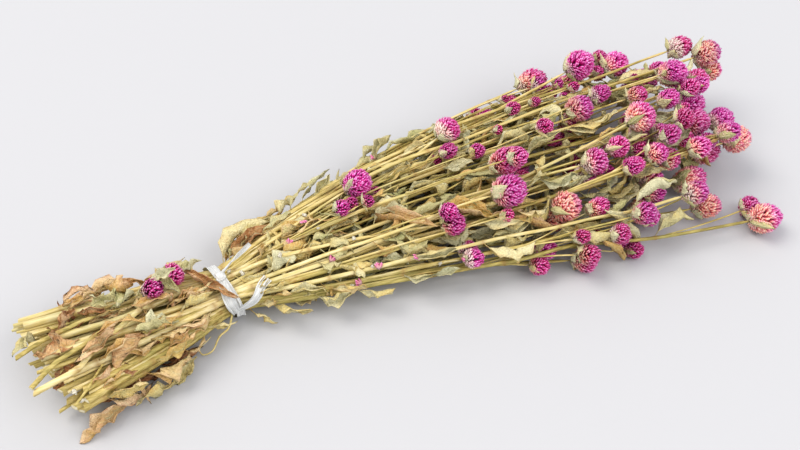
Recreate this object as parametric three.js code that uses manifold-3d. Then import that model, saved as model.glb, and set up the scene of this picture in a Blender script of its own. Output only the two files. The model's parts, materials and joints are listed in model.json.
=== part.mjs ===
// A bunch of dried globe amaranth, laid down: cut stems with their leaves, tied with a strip of white tape,
// and globe-shaped flower heads at the far ends.
// Millimetres. +X runs along the bunch from the cut ends to the flowers, +Z is up, and the surface that the
// bunch lies on is z = 0. The origin is the point of that surface under the middle of the tie.
import * as THREE from "three";
import { mergeVertices } from "three/addons/utils/BufferGeometryUtils.js";
import Module from "manifold-3d";

const wasm = await Module();
wasm.setup();

// Stations: every stem is a polyline through planes of constant x, one each STATION_STEP.
const STATION_STEP = 34;
const FIRST_STATION = -136;
const STATION_COUNT = 18;
const TIE_STATION = 4;
const stationX = (k) => FIRST_STATION + STATION_STEP * k;

// The bunch: stems stand in three rings at the tie, and each three neighbours of a ring are pressed together.
const RINGS = [
  { stems: 6, reach: 0.3, setback: 70 },
  { stems: 15, reach: 0.64, setback: 130 },
  { stems: 21, reach: 0.97, setback: 230 },
];
const STEMS_IN_SPRAY = 3;
const TIE_HALF_WIDTH = 23;
const TIE_HALF_HEIGHT = 15.5;
const TIE_HEIGHT = 17;
const TIE_FLATNESS = 0.3;
const TIE_GAP = 1.15;
const BUTT_X = -122;
const BUTT_SLANT = -0.29;
const BUTT_SPREAD = 21;
const BUTT_RISE = 4.5;
const BUTT_SIDEWAYS = -20;
const BUTT_TWIST = -0.55;
const FLOWER_X = 410;
const FLOWER_SPREAD = 52;
const FLOWER_SIDEWAYS = 2;
const FLOWER_BULGE = 13;
const FLOWER_RISE = 13;
const FLOWER_TWIST = 0.2;

// How stems and heads vary.
const WANDER = 0.34;
const BUTT_WANDER = 0.3;
const SETBACK_BIAS = 1.25;
const LONG_HEAD_SHARE = 0.22;
const LONG_HEAD_STRETCH = 1.24;
const HEAD_STRETCH = [1, 1.08];
const HEAD_LEAN = [7, 6];
const CUT_SPREAD = 12;
const BUTT_FLARE = 1.1;
const FLOWER_FLARE = 0.8;
const WIDEST_X = 360;
const BULGE_END_X = 300;
const SHOOT_LAG = [-10, 6];
const BARE_IN_FIVE = [2, 4];
const NECK_LENGTH = 8;
const END_BEND = 1.5;

// Stems and heads.
const BUTT_RADIUS = [2.4, 3];
const NECK_RADIUS = [0.95, 1.15];
const SHOOT_RADIUS = 0.85;
const HEAD_RADIUS = [8.6, 11.4];
const TWIN_RADIUS = [5.8, 8.4];
const GAP = 0.55;
const OWN_GAP = 0.4;
const LOW_SHOOT_STATION = 2;
const STRAIGHT_WITHIN = 0.27;
const SEAT = 0.3;
const SQUEEZE = 0.62;
const TWIN_SQUEEZE = 0.84;
const FLAT_DEPTH = 0.4;

// Packing at the tie: rounds, how many of them pull inwards, and the strengths of the pull and the pushes.
const PACK_ROUNDS = 500;
const PULLED_ROUNDS = 420;
const PACK_PULL = 0.03;
const PACK_PUSH = 0.4;

// Settling: the share of each push that a round takes, the share of a head's move that goes to the station
// before it, how strongly stems straighten and go home, the rounds and the allowance for sloping stems.
const SEED = 20;
const SETTLE_STEP = 0.5;
const NECK_SHARE = 0.5;
const STRAIGHTEN = 0.2;
const HOMING = 0.15;
const FINAL_STRAIGHTEN = 0.02;
const SETTLE_ROUNDS = 240;
const FINAL_ROUNDS = 120;
const SLOPE_ALLOWANCE = 1.06;
const LONG_HEAD_ROOM = 0.75;
const LEAST_APART = 0.2;
const NEAR_ZERO = 1e-9;
const WELD = 1e-4;

// The tie: a band of flat tape, slanted across the bunch.
const TAPE_WIDTH = 7;
const TAPE_THICKNESS = 1;
const TAPE_CLEARANCE = 0.45;
const TAPE_FLATS = 20;
const TIE_X = -2;
const TIE_SLANT = 0.26;
const KNOT_SIZE = [4.6, 5.2, 2.3];
const KNOT_TURN = 86;
const KNOT_FLATS = [9, 6];
const OUTLINE_STEPS = 12;
const OUTLINE_SPAN = 1.26;

// The tape's two free ends: a narrow twisted one from the knot, and a flat one folded forward at the side.
// Each point of a path: x, the angle round the bunch in degrees, and the lift off the stems.
const TWISTED_END = {
  width: 3.6,
  roll: 2.2,
  laid: [
    [TIE_X, 80, 1.2],
    [5, 60, 2.4],
    [14, 48, 3.2],
    [25, 40, 3.6],
  ],
};
const FLAT_END = {
  width: 6.2,
  roll: 0,
  laid: [
    [1.16, 184, 0.9],
    [12, 169, 1.8],
    [17, 159, 2],
    [22, 149, 1.8],
    [28, 137, 1.2],
  ],
};

// Leaves.
const LEAF_SEED = 77;
const LEAF_LENGTH = [28, 48];
const LEAF_WIDTH = [8, 12.5];
const LEAF_CURL = [-1.2, 0.9];
const LEAST_CURL = 0.01;
const LEAF_FOLD = [0.1, 0.8];
const LEAF_TWIST = [-1.1, 1.1];
const LEAF_SECTIONS = [0.4, 0.76];
const LEAF_BASE_FULLNESS = 0.75;
const LEAF_FULLNESS = 0.8;
const LEAF_TURN = 2.4;
const LEAFLESS_NECK = 34;
const LEAF_SHARE = 0.8;
const LEAF_TRIES = 24;
const LEAF_TILTS = [0.3, 0.55];
const LEAF_REACH = 14;
const LEAF_SCALES = [1, 0.8, 0.6];
const LOWEST_NODE = 10;
const LEAF_SHOWS = 0.78;
const NODE_SPACING = [50, 60];
const LOW_NODE_SPACING = [25, 30];
const RIB_THICKNESS = 1.2;
const STALK_WIDTH = 1.5;
const STALK_LENGTH = 5.5;
const STALK_TILT = 0.95;
const LEAF_TESTS = 7;
const LEAF_FLOOR = 0.8;
const LEAF_CLEARANCE = 2.7;
const OWN_STEM_CLEARANCE = 0.6;
const LEAVES_APART = 4.6;
const TIE_ZONE = 8;
const TAIL_CLEARANCE = 7;
const COLLAR_REACH = 0.74;
const COLLAR_WAIST = 2.2;
const COLLAR_GAP = 1.3;
const COLLAR_THICKNESS = 1.6;
const COLLAR_SPACE = 1;
const COLLAR_TRIES = 6;

// Heads.
const SCALE_ROWS = 4;
const SCALES_ROUND = 5;
const SCALE_LEAN = 0.2;
const FIRST_ROW = 0.85;
const SCALE_VALLEY = 0.84;

// Heads that stand out in the bunch: [x, y, z, radius]. The nearest free stem carries each.
const LANDMARK_HEADS = [
  [394, -91, 13, 11.5],
  [360, -65, 13, 9.5],
  [410, -21, 31, 10.5],
  [405, 25, 47, 9.5],
  [411, 62, 56, 9.5],
  [427, 47, 56, 10.5],
  [364, -38, 16, 10.5],
  [250, -67, 11, 9.5],
  [286, -65, 11, 9],
  [170, -44, 15, 7],
  [112, 28, 42, 10],
  [236, 72, 38, 8.5],
  [288, 81, 42, 10.5],
  [320, 76, 49, 11.5],
  [357, 70, 52, 10.5],
  [196, 55, 43, 9.5],
  [217, -3, 58, 10],
  [208, -28, 50, 11.5],
  [163, -21, 42, 8.5],
  [248, -42, 35, 11],
  [224, -56, 14, 8],
  [282, -21, 48, 10],
  [301, 37, 52, 10],
  [327, -40, 22, 9.5],
  [313, -59, 15, 10.5],
  [330, -1, 60, 11],
  [384, 33, 58, 11],
];
// Two heads on short shoots near the cut ends: [x, y, z, radius].
const LOW_HEADS = [
  [-32, 6, 45, 9],
  [-47, -3, 45, 8.4],
];

// Repeatable draws between 0 and 1, from a 32-bit linear congruential generator.
function drawsFrom(seed) {
  let state = seed >>> 0;
  return () => {
    state = (Math.imul(state, 1664525) + 1013904223) >>> 0;
    return state / 4294967296;
  };
}
const between = ([low, high], share) => low + (high - low) * share;
const clamp = (value, low, high) => Math.min(high, Math.max(low, value));

// The envelope of the stems at x: its middle and its half-sizes across and up.
function envelope(x) {
  if (x < 0) {
    const t = x / BUTT_X;
    return {
      y: BUTT_SIDEWAYS * t,
      z: TIE_HEIGHT + BUTT_RISE * t,
      halfWidth: TIE_HALF_WIDTH + BUTT_SPREAD * t ** BUTT_FLARE,
      halfHeight: TIE_HALF_HEIGHT + BUTT_RISE * t,
      twist: BUTT_TWIST * t,
    };
  }
  const t = Math.min(1, x / WIDEST_X);
  const bulge = Math.sin(Math.PI * Math.min(1, x / BULGE_END_X));
  return {
    y: (FLOWER_SIDEWAYS * x) / WIDEST_X + FLOWER_BULGE * bulge,
    z: TIE_HEIGHT + FLOWER_RISE * t,
    halfWidth: TIE_HALF_WIDTH + FLOWER_SPREAD * Math.sin((t * Math.PI) / 2) ** FLOWER_FLARE,
    halfHeight: TIE_HALF_HEIGHT + FLOWER_RISE * t,
    twist: FLOWER_TWIST * t,
  };
}

// A point of the envelope's unit disc, at x, and back.
function fromDisc(u, v, x) {
  const e = envelope(x);
  const c = Math.cos(e.twist);
  const s = Math.sin(e.twist);
  return [e.y + e.halfWidth * (c * u - s * v), e.z + e.halfHeight * (s * u + c * v)];
}
function toDisc(y, z, x) {
  const e = envelope(x);
  const c = Math.cos(e.twist);
  const s = Math.sin(e.twist);
  const a = (y - e.y) / e.halfWidth;
  const b = (z - e.z) / e.halfHeight;
  return [c * a + s * b, -s * a + c * b];
}

// The stems as they start out: where each passes the tie, how thick it is and where its head sits.
function startStems(draw) {
  const stems = [];
  let spray = 0;
  RINGS.forEach((ring, r) => {
    for (let n = 0; n < ring.stems; n++) {
      const angle = ((n + 0.5 * r) / ring.stems) * 2 * Math.PI;
      const headRadius = between(HEAD_RADIUS, draw());
      stems.push({
        spray: spray + Math.floor(n / STEMS_IN_SPRAY),
        ring: r,
        u: ring.reach * Math.cos(angle),
        v: ring.reach * Math.sin(angle),
        wander: [(draw() - 0.5) * WANDER, (draw() - 0.5) * WANDER],
        buttWander: [(draw() - 0.5) * BUTT_WANDER, (draw() - 0.5) * BUTT_WANDER],
        buttRadius: between(BUTT_RADIUS, draw()),
        neckRadius: between(NECK_RADIUS, draw()),
        headX: FLOWER_X - ring.setback * draw() ** SETBACK_BIAS,
        headRadius,
        stretch: draw() < LONG_HEAD_SHARE ? LONG_HEAD_STRETCH : between(HEAD_STRETCH, draw()),
        lean: HEAD_LEAN.map((most) => (draw() - 0.5) * most),
        cut: (draw() - 0.5) * CUT_SPREAD,
        parent: -1,
        first: 0,
      });
    }
    spray += ring.stems / STEMS_IN_SPRAY;
  });
  return stems;
}

// Each landmark head goes to the free stem that points nearest to it.
function placeLandmarks(stems) {
  for (const [x, y, z, radius] of LANDMARK_HEADS) {
    const [u, v] = toDisc(y, z, x);
    const shrink = RINGS[2].reach / Math.max(1, Math.hypot(u, v));
    const free = stems.filter((stem) => stem.ring > 0 && !stem.end);
    const away = free.map((stem) => Math.hypot(stem.u - u * shrink, stem.v - v * shrink));
    const stem = free[away.indexOf(Math.min(...away))];
    Object.assign(stem, { end: [u, v], headX: x, headRadius: radius, lean: [0, 0] });
  }
  for (const stem of stems) {
    if (!stem.end) stem.end = [stem.u + stem.wander[0], stem.v + stem.wander[1]];
  }
}

// Short flowering shoots, each beside the head of a longer stem, which it leaves two stations before the end.
function addShoots(stems, draw) {
  const basal = stems.length;
  for (let i = 0; i < basal; i++) {
    const stem = stems[i];
    if (stem.ring === 0 || BARE_IN_FIVE.includes(i % 5)) continue;
    const first = lastStation(stem) - 1;
    if (first <= TIE_STATION) continue;
    stems.push({
      ...stem,
      parent: i,
      first,
      buttRadius: SHOOT_RADIUS,
      neckRadius: SHOOT_RADIUS,
      headRadius: between(TWIN_RADIUS, draw()),
      headX: stem.headX + between(SHOOT_LAG, draw()),
      stretch: 1,
      lean: [0, 0],
      side: 2 * Math.PI * draw(),
    });
  }
}

// The two shoots near the cut ends leave the stem that lies on top there.
function addLowShoots(stems) {
  for (const [x, y, z, radius] of LOW_HEADS) {
    const [u, v] = toDisc(y, z - radius, x);
    const away = stems.map((stem) => (stem.parent < 0 ? Math.hypot(stem.u - u, stem.v - v) : Infinity));
    const parent = away.indexOf(Math.min(...away));
    stems.push({
      ...stems[parent],
      parent,
      alone: true,
      first: LOW_SHOOT_STATION,
      buttRadius: SHOOT_RADIUS,
      neckRadius: SHOOT_RADIUS,
      headRadius: radius,
      headX: x,
      stretch: 1,
      lean: [0, 0],
      end: [y, z],
    });
  }
}

const headHalf = (stem) => stem.headRadius * stem.stretch;
const lastStation = (stem) =>
  Math.floor((stem.headX - headHalf(stem) - NECK_LENGTH - FIRST_STATION) / STATION_STEP);

// A stem narrows evenly from its cut end to its neck.
function radiusAt(stem, x) {
  const share = clamp((x - BUTT_X) / (stem.headX - BUTT_X), 0, 1);
  return between([stem.buttRadius, stem.neckRadius], share);
}

// Sets each stem's own points on the envelope, station by station.
function drawStems(stems) {
  for (const stem of stems) {
    stem.last = lastStation(stem);
    stem.y = new Float64Array(STATION_COUNT);
    stem.z = new Float64Array(STATION_COUNT);
    for (let k = 0; k < STATION_COUNT; k++) {
      const x = stationX(k);
      if (stem.alone) {
        const parent = stems[stem.parent];
        const share = clamp((x - stationX(stem.first)) / (stem.headX - stationX(stem.first)), 0, 3);
        stem.y[k] = parent.y[k] + share * (stem.end[0] - parent.y[k]);
        stem.z[k] = parent.z[k] + share * (stem.end[1] - parent.z[k]);
        continue;
      }
      if (stem.parent >= 0) {
        const parent = stems[stem.parent];
        const start = stationX(stem.first);
        const apart = TWIN_SQUEEZE * (stem.headRadius + parent.headRadius);
        const share = Math.max(0, (x - start) / (stem.headX - start));
        stem.y[k] = parent.y[k] + apart * share * Math.cos(stem.side);
        stem.z[k] = parent.z[k] + apart * share * Math.sin(stem.side);
        continue;
      }
      const t = x < 0 ? x / BUTT_X : clamp(x / stem.headX, 0, 1) ** END_BEND;
      const u = x < 0 ? stem.u + stem.buttWander[0] * t : stem.u + (stem.end[0] - stem.u) * t;
      const v = x < 0 ? stem.v + stem.buttWander[1] * t : stem.v + (stem.end[1] - stem.v) * t;
      [stem.y[k], stem.z[k]] = fromDisc(u, v, x);
    }
    stem.cutX = BUTT_X + BUTT_SLANT * (stem.y[0] - BUTT_SIDEWAYS) + stem.cut;
  }
}

// Packs the stems into the tie: they close in on its middle, stay clear of each other's sprays, and press
// against the next stem of their own.
function packTie(stems) {
  const basal = stems.filter((stem) => stem.parent < 0);
  const k = TIE_STATION;
  const floor = TAPE_THICKNESS + TAPE_CLEARANCE;
  for (let round = 0; round < PACK_ROUNDS; round++) {
    const pull = round < PULLED_ROUNDS ? PACK_PULL : 0;
    const move = basal.map((stem) => [-pull * TIE_FLATNESS * stem.y[k], pull * (TIE_HEIGHT - stem.z[k])]);
    for (let i = 0; i < basal.length; i++) {
      for (let j = i + 1; j < basal.length; j++) {
        const a = basal[i];
        const b = basal[j];
        const dy = a.y[k] - b.y[k];
        const dz = a.z[k] - b.z[k];
        const apart = Math.hypot(dy, dz);
        const reach = radiusAt(a, 0) + radiusAt(b, 0);
        const pressed = a.spray === b.spray && j === i + 1;
        const need = pressed ? SQUEEZE * reach : reach + TIE_GAP;
        if (apart >= need && !pressed) continue;
        const push = (PACK_PUSH * (need - apart)) / apart;
        move[i][0] += dy * push;
        move[i][1] += dz * push;
        move[j][0] -= dy * push;
        move[j][1] -= dz * push;
      }
    }
    basal.forEach((stem, i) => {
      stem.y[k] += move[i][0];
      stem.z[k] = Math.max(floor + radiusAt(stem, 0), stem.z[k] + move[i][1]);
    });
  }
  const lowest = Math.min(...basal.map((stem) => stem.z[k] - radiusAt(stem, 0)));
  for (const stem of basal) stem.z[k] += floor - lowest;
}

// The share of interval k that a stem runs through.
function span(stem, k) {
  if (k < stem.first || k > stem.last) return [1, 0];
  const from = k === 0 && stem.parent < 0 ? clamp((stem.cutX - FIRST_STATION) / STATION_STEP, 0, 1) : 0;
  const tip = (stem.headX - headHalf(stem) - stationX(k)) / STATION_STEP;
  return [from, k === stem.last ? clamp(tip, 0, 1) : 1];
}

// A head's middle: on the line of its stem's last interval, moved by its lean.
function headMiddle(stem) {
  const k = stem.last;
  const t = (stem.headX - stationX(k)) / STATION_STEP;
  return [
    stem.headX,
    stem.y[k] + t * (stem.y[k + 1] - stem.y[k]) + stem.lean[0],
    stem.z[k] + t * (stem.z[k + 1] - stem.z[k]) + stem.lean[1],
  ];
}

// One round of settling: contacts push stems and heads apart across the bunch, and every stem straightens.
function settle(stems, straighten, home) {
  const n = stems.length;
  const moveY = stems.map(() => new Float64Array(STATION_COUNT));
  const moveZ = stems.map(() => new Float64Array(STATION_COUNT));
  const shift = (i, k, y, z) => {
    moveY[i][k] += y;
    moveZ[i][k] += z;
  };
  const shiftHead = (i, y, z) => {
    shift(i, stems[i].last, NECK_SHARE * y, NECK_SHARE * z);
    shift(i, stems[i].last + 1, y, z);
  };
  const middles = stems.map(headMiddle);
  for (let i = 0; i < n; i++) {
    for (let j = i + 1; j < n; j++) {
      meetStems(stems, i, j, shift);
      meetHeads(stems, middles, i, j, shiftHead);
    }
    for (let j = 0; j < n; j++) if (i !== j) meetHeadAndStem(stems, middles[i], i, j, shift, shiftHead);
  }
  for (let i = 0; i < n; i++) {
    const stem = stems[i];
    const { y, z, first, last, parent } = stem;
    for (let k = first; k <= last + 1; k++) {
      if (parent < 0 && k === TIE_STATION) continue;
      if (k > first && k <= last) {
        moveY[i][k] += straighten * ((y[k - 1] + y[k + 1]) / 2 - y[k]);
        moveZ[i][k] += straighten * ((z[k - 1] + z[k + 1]) / 2 - z[k]);
      }
      if (k === last + 1) {
        moveY[i][k] += NECK_SHARE * straighten * (2 * y[k - 1] - y[k - 2] - y[k]);
        moveZ[i][k] += NECK_SHARE * straighten * (2 * z[k - 1] - z[k - 2] - z[k]);
      }
      moveY[i][k] += home * (stem.homeY[k] - y[k]);
      moveZ[i][k] += home * (stem.homeZ[k] - z[k]);
    }
  }
  for (let i = 0; i < n; i++) {
    const stem = stems[i];
    for (let k = stem.first; k <= stem.last + 1; k++) {
      if (stem.parent < 0 && k === TIE_STATION) continue;
      stem.y[k] += SETTLE_STEP * moveY[i][k];
      stem.z[k] = Math.max(radiusAt(stem, stationX(k)), stem.z[k] + SETTLE_STEP * moveZ[i][k]);
    }
    if (stem.parent >= 0) {
      stem.y[stem.first] = stems[stem.parent].y[stem.first];
      stem.z[stem.first] = stems[stem.parent].z[stem.first];
    }
    const low = stem.headRadius - FLAT_DEPTH - headMiddle(stem)[2];
    if (low > 0) {
      stem.z[stem.last] += NECK_SHARE * low;
      stem.z[stem.last + 1] += low;
    }
  }
}

// Two stems in each interval that both run through: they part where they come nearest.
function meetStems(stems, i, j, shift) {
  const a = stems[i];
  const b = stems[j];
  const gap = a.spray === b.spray ? OWN_GAP : GAP;
  for (let k = Math.max(a.first, b.first); k <= Math.min(a.last, b.last); k++) {
    const [fromA, toA] = span(a, k);
    const [fromB, toB] = span(b, k);
    const from = Math.max(fromA, fromB);
    const to = Math.min(toA, toB);
    if (from >= to) continue;
    const y0 = a.y[k] - b.y[k];
    const z0 = a.z[k] - b.z[k];
    const ey = a.y[k + 1] - b.y[k + 1] - y0;
    const ez = a.z[k + 1] - b.z[k + 1] - z0;
    const length = ey * ey + ez * ez;
    const t = length > NEAR_ZERO ? clamp(-(y0 * ey + z0 * ez) / length, from, to) : from;
    const dy = y0 + ey * t;
    const dz = z0 + ez * t;
    const apart = Math.hypot(dy, dz);
    const x = stationX(k) + t * STATION_STEP;
    const need = (radiusAt(a, x) + radiusAt(b, x) + gap) * SLOPE_ALLOWANCE;
    if (apart >= need) continue;
    if (k === a.first && a.parent === j) continue;
    if (k === b.first && b.parent === i) continue;
    const push = (need - apart) / 2 / Math.max(apart, LEAST_APART);
    shift(i, k, dy * push * (1 - t), dz * push * (1 - t));
    shift(i, k + 1, dy * push * t, dz * push * t);
    shift(j, k, -dy * push * (1 - t), -dz * push * (1 - t));
    shift(j, k + 1, -dy * push * t, -dz * push * t);
  }
}

// The ball of room that a head keeps: a long head's is a little wider than the head.
const headReach = (stem) => stem.headRadius * (1 + LONG_HEAD_ROOM * (stem.stretch - 1));

function meetHeads(stems, middles, i, j, shiftHead) {
  const twins = !stems[i].alone && !stems[j].alone && (stems[i].parent === j || stems[j].parent === i);
  const dx = middles[i][0] - middles[j][0];
  const reach = headReach(stems[i]) + headReach(stems[j]);
  const far = twins ? TWIN_SQUEEZE * (stems[i].headRadius + stems[j].headRadius) : reach + GAP;
  if (Math.abs(dx) >= far) return;
  const need = Math.sqrt(far * far - dx * dx);
  const dy = middles[i][1] - middles[j][1];
  const dz = middles[i][2] - middles[j][2];
  const apart = Math.hypot(dy, dz);
  if (apart >= need && !twins) return;
  const push = (need - apart) / 2 / Math.max(apart, LEAST_APART);
  shiftHead(i, dy * push, dz * push);
  shiftHead(j, -dy * push, -dz * push);
}

function meetHeadAndStem(stems, middle, i, j, shift, shiftHead) {
  const head = stems[i];
  const stem = stems[j];
  const reach = headReach(head);
  const low = Math.floor((middle[0] - reach - FIRST_STATION) / STATION_STEP);
  const high = Math.floor((middle[0] + reach - FIRST_STATION) / STATION_STEP);
  for (let k = Math.max(low, stem.first); k <= Math.min(high, stem.last); k++) {
    const [from, to] = span(stem, k);
    if (from >= to) continue;
    const ey = stem.y[k + 1] - stem.y[k];
    const ez = stem.z[k + 1] - stem.z[k];
    const px = middle[0] - stationX(k);
    const py = middle[1] - stem.y[k];
    const pz = middle[2] - stem.z[k];
    const length = STATION_STEP * STATION_STEP + ey * ey + ez * ez;
    const t = clamp((px * STATION_STEP + py * ey + pz * ez) / length, from, to);
    const dx = px - t * STATION_STEP;
    const dy = py - t * ey;
    const dz = pz - t * ez;
    const far = reach + radiusAt(stem, stationX(k) + t * STATION_STEP) + GAP;
    if (Math.abs(dx) >= far) continue;
    const need = Math.sqrt(far * far - dx * dx);
    const apart = Math.hypot(dy, dz);
    if (apart >= need) continue;
    const push = (need - apart) / 2 / Math.max(apart, LEAST_APART);
    shiftHead(i, dy * push, dz * push);
    shift(j, k, -dy * push * (1 - t), -dz * push * (1 - t));
    shift(j, k + 1, -dy * push * t, -dz * push * t);
  }
}

function layOutBunch() {
  const draw = drawsFrom(SEED);
  const stems = startStems(draw);
  placeLandmarks(stems);
  addShoots(stems, draw);
  addLowShoots(stems);
  drawStems(stems);
  packTie(stems);
  for (const stem of stems) {
    stem.homeY = stem.y.slice();
    stem.homeZ = stem.z.slice();
  }
  for (let round = 0; round < SETTLE_ROUNDS; round++) settle(stems, STRAIGHTEN, HOMING);
  for (let round = 0; round < FINAL_ROUNDS; round++) settle(stems, FINAL_STRAIGHTEN, 0);
  return stems;
}

// The unit axis that a head points along, from the last station of its stem to its middle.
function headAxis(stem) {
  const k = stem.last;
  const from = new THREE.Vector3(stationX(k), stem.y[k], stem.z[k]);
  return new THREE.Vector3(...headMiddle(stem)).sub(from).normalize();
}

// The centre line of a stem: its cut end, the stations where it bends and its tip, just short of its head.
function centreLine(stem) {
  const points = [];
  for (let k = stem.first; k <= stem.last; k++) {
    points.push(new THREE.Vector3(stationX(k), stem.y[k], stem.z[k]));
  }
  if (stem.parent < 0) {
    const slope = points[1].clone().sub(points[0]).divideScalar(STATION_STEP);
    points[0].addScaledVector(slope, stem.cutX - points[0].x);
  }
  const base = headHalf(stem) + SEAT;
  points.push(new THREE.Vector3(...headMiddle(stem)).addScaledVector(headAxis(stem), -base));
  let start = 0;
  return points.filter((point, i) => {
    if (i === 0 || i === points.length - 1) return true;
    const line = new THREE.Line3(points[start], points[i + 1]);
    const passed = points.slice(start + 1, i + 1);
    const off = passed.map((p) => line.closestPointToPoint(p, true, new THREE.Vector3()).distanceTo(p));
    if (Math.max(...off) < STRAIGHT_WITHIN) return false;
    start = i;
    return true;
  });
}

// A closed mesh as a solid that can be cut and joined.
function solidFrom(points, triangles) {
  const geometry = new THREE.BufferGeometry().setFromPoints(points);
  geometry.setIndex(triangles);
  return fromGeometry(geometry);
}

function fromGeometry(geometry) {
  geometry.deleteAttribute("normal");
  geometry.deleteAttribute("uv");
  const merged = mergeVertices(geometry, WELD);
  return new wasm.Manifold(
    new wasm.Mesh({
      numProp: 3,
      vertProperties: merged.attributes.position.array,
      triVerts: new Uint32Array(merged.index.array),
    }),
  );
}

// A solid through rings of points that turn to the left about its line, all with as many corners.
function loft(rings) {
  const sides = rings[0].length;
  const triangles = [];
  for (let r = 0; r + 1 < rings.length; r++) {
    for (let s = 0; s < sides; s++) {
      const a = r * sides + s;
      const b = r * sides + ((s + 1) % sides);
      triangles.push(a, b, a + sides, b, b + sides, a + sides);
    }
  }
  const end = (rings.length - 1) * sides;
  for (let s = 1; s + 1 < sides; s++) {
    triangles.push(0, s + 1, s);
    triangles.push(end, end + s, end + s + 1);
  }
  return solidFrom(rings.flat(), triangles);
}

// The directions across a line at one of its points: level, and square to that.
function crossing(along) {
  const level = new THREE.Vector3(0, 0, 1).cross(along).normalize();
  return [level, along.clone().cross(level)];
}

// The rings of a four-angled stem along its centre line.
function stemRings(stem, points) {
  return points.map((point, i) => {
    const before = points[Math.max(0, i - 1)];
    const after = points[Math.min(points.length - 1, i + 1)];
    const [level, up] = crossing(after.clone().sub(before).normalize());
    const radius = radiusAt(stem, point.x);
    return corners(point, level, up, [radius, radius, radius, radius], stem.turn);
  });
}

function corners(point, level, up, reaches, turn) {
  return reaches.map((reach, n) => {
    const angle = turn + (2 * Math.PI * n) / reaches.length;
    return point
      .clone()
      .addScaledVector(level, reach * Math.cos(angle))
      .addScaledVector(up, reach * Math.sin(angle));
  });
}

// The pair of small leaves under a head: the stem spreads into a cup with two points, and its tip carries
// the head.
function collarRings(stem, reach) {
  const axis = headAxis(stem);
  const [level, up] = crossing(axis);
  const middle = new THREE.Vector3(...headMiddle(stem));
  const half = headHalf(stem);
  const below = half * Math.sqrt(1 - COLLAR_REACH ** 2);
  const rim = corners(middle, level, up, [reach, COLLAR_WAIST, reach, COLLAR_WAIST], stem.turn);
  rim.forEach((p, n) => p.addScaledVector(axis, n % 2 === 0 ? -below - COLLAR_GAP : -half - COLLAR_GAP));
  const root = corners(middle, level, up, Array(4).fill(stem.neckRadius), stem.turn);
  for (const p of root) p.addScaledVector(axis, -half - COLLAR_GAP - COLLAR_THICKNESS);
  const tip = corners(middle, level, up, Array(4).fill(COLLAR_WAIST / 2), stem.turn);
  for (const p of tip) p.addScaledVector(axis, -half - SEAT);
  return [root, rim, tip];
}

function stemSolid(stem) {
  const rings = stemRings(stem, centreLine(stem));
  if (stem.collar) rings.splice(-1, 1, ...collarRings(stem, COLLAR_REACH * stem.headRadius));
  return loft(rings);
}

// A leaf's midrib bends evenly from its root towards its upper face, and its blade turns about the midrib.
function midribAt(leaf, s) {
  const turn = leaf.curl * s;
  const forward = Math.sin(turn) / leaf.curl;
  const upward = (1 - Math.cos(turn)) / leaf.curl;
  const middle = leaf.root
    .clone()
    .addScaledVector(leaf.along, leaf.length * forward)
    .addScaledVector(leaf.normal, leaf.length * upward);
  const normal = leaf.normal
    .clone()
    .multiplyScalar(Math.cos(turn))
    .addScaledVector(leaf.along, -Math.sin(turn));
  const twist = leaf.twist * s;
  const side = leaf.side.clone().multiplyScalar(Math.cos(twist)).addScaledVector(normal, Math.sin(twist));
  const face = normal.clone().multiplyScalar(Math.cos(twist)).addScaledVector(leaf.side, -Math.sin(twist));
  const half = 0.5 * leaf.width * Math.sin(Math.PI * s ** LEAF_BASE_FULLNESS) ** LEAF_FULLNESS;
  return { middle, side, face, half };
}

// The blade's section at s: its two edges, folded up from the rib.
function edgesAt(leaf, s) {
  const { middle, side, face, half } = midribAt(leaf, s);
  const lift = leaf.fold * half;
  const left = middle.clone().addScaledVector(side, half).addScaledVector(face, lift);
  const right = middle.clone().addScaledVector(side, -half).addScaledVector(face, lift);
  return { middle, left, right, face };
}

// A leaf as a thin solid: a narrow stalk, then a blade that is thickest at the rib, with a pointed tip.
function leafSolid(leaf) {
  const { side, face } = midribAt(leaf, 0);
  const rings = [leaf.node, leaf.root].map((point) => {
    return [1, 0, -1, 0].map((across, i) =>
      point
        .clone()
        .addScaledVector(side, (across * STALK_WIDTH) / 2)
        .addScaledVector(face, ([0, 1, 0, -1][i] * RIB_THICKNESS) / 2),
    );
  });
  for (const s of LEAF_SECTIONS) {
    const { middle, left, right, face } = edgesAt(leaf, s);
    const under = middle.clone().addScaledVector(face, -RIB_THICKNESS / 2);
    const over = middle.clone().addScaledVector(face, RIB_THICKNESS / 2);
    rings.push([left, over, right, under]);
  }
  const tip = midribAt(leaf, 1).middle;
  const count = rings.length * 4;
  const triangles = [];
  for (let a = 0; a + 4 < count; a++) {
    const b = a % 4 === 3 ? a - 3 : a + 1;
    triangles.push(a, b, a + 4, b, b + 4, a + 4);
  }
  for (let a = count - 4; a < count; a++) triangles.push(a, a % 4 === 3 ? a - 3 : a + 1, count);
  triangles.push(0, 2, 1, 0, 3, 2);
  return solidFrom([...rings.flat(), tip], triangles);
}

// Points all over a leaf, from the end of its stalk, for keeping it clear.
function leafPoints(leaf) {
  const points = [leaf.root];
  for (let n = 1; n <= LEAF_TESTS; n++) {
    const { middle, left, right } = edgesAt(leaf, n / LEAF_TESTS);
    points.push(middle, left, right);
  }
  return points;
}

function pointsAreApart(some, others) {
  return some.every((p) => others.every((q) => p.distanceTo(q) >= LEAVES_APART));
}

// How far a point is from a stem's surface, measured across the bunch.
function distanceTo(stem, p) {
  const k = Math.floor((p.x - FIRST_STATION) / STATION_STEP);
  if (k < stem.first || k > stem.last || p.x > stem.headX) return Infinity;
  const t = (p.x - stationX(k)) / STATION_STEP;
  const y = stem.y[k] + t * (stem.y[k + 1] - stem.y[k]);
  const z = stem.z[k] + t * (stem.z[k + 1] - stem.z[k]);
  return Math.hypot(p.y - y, p.z - z) - radiusAt(stem, p.x);
}

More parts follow.
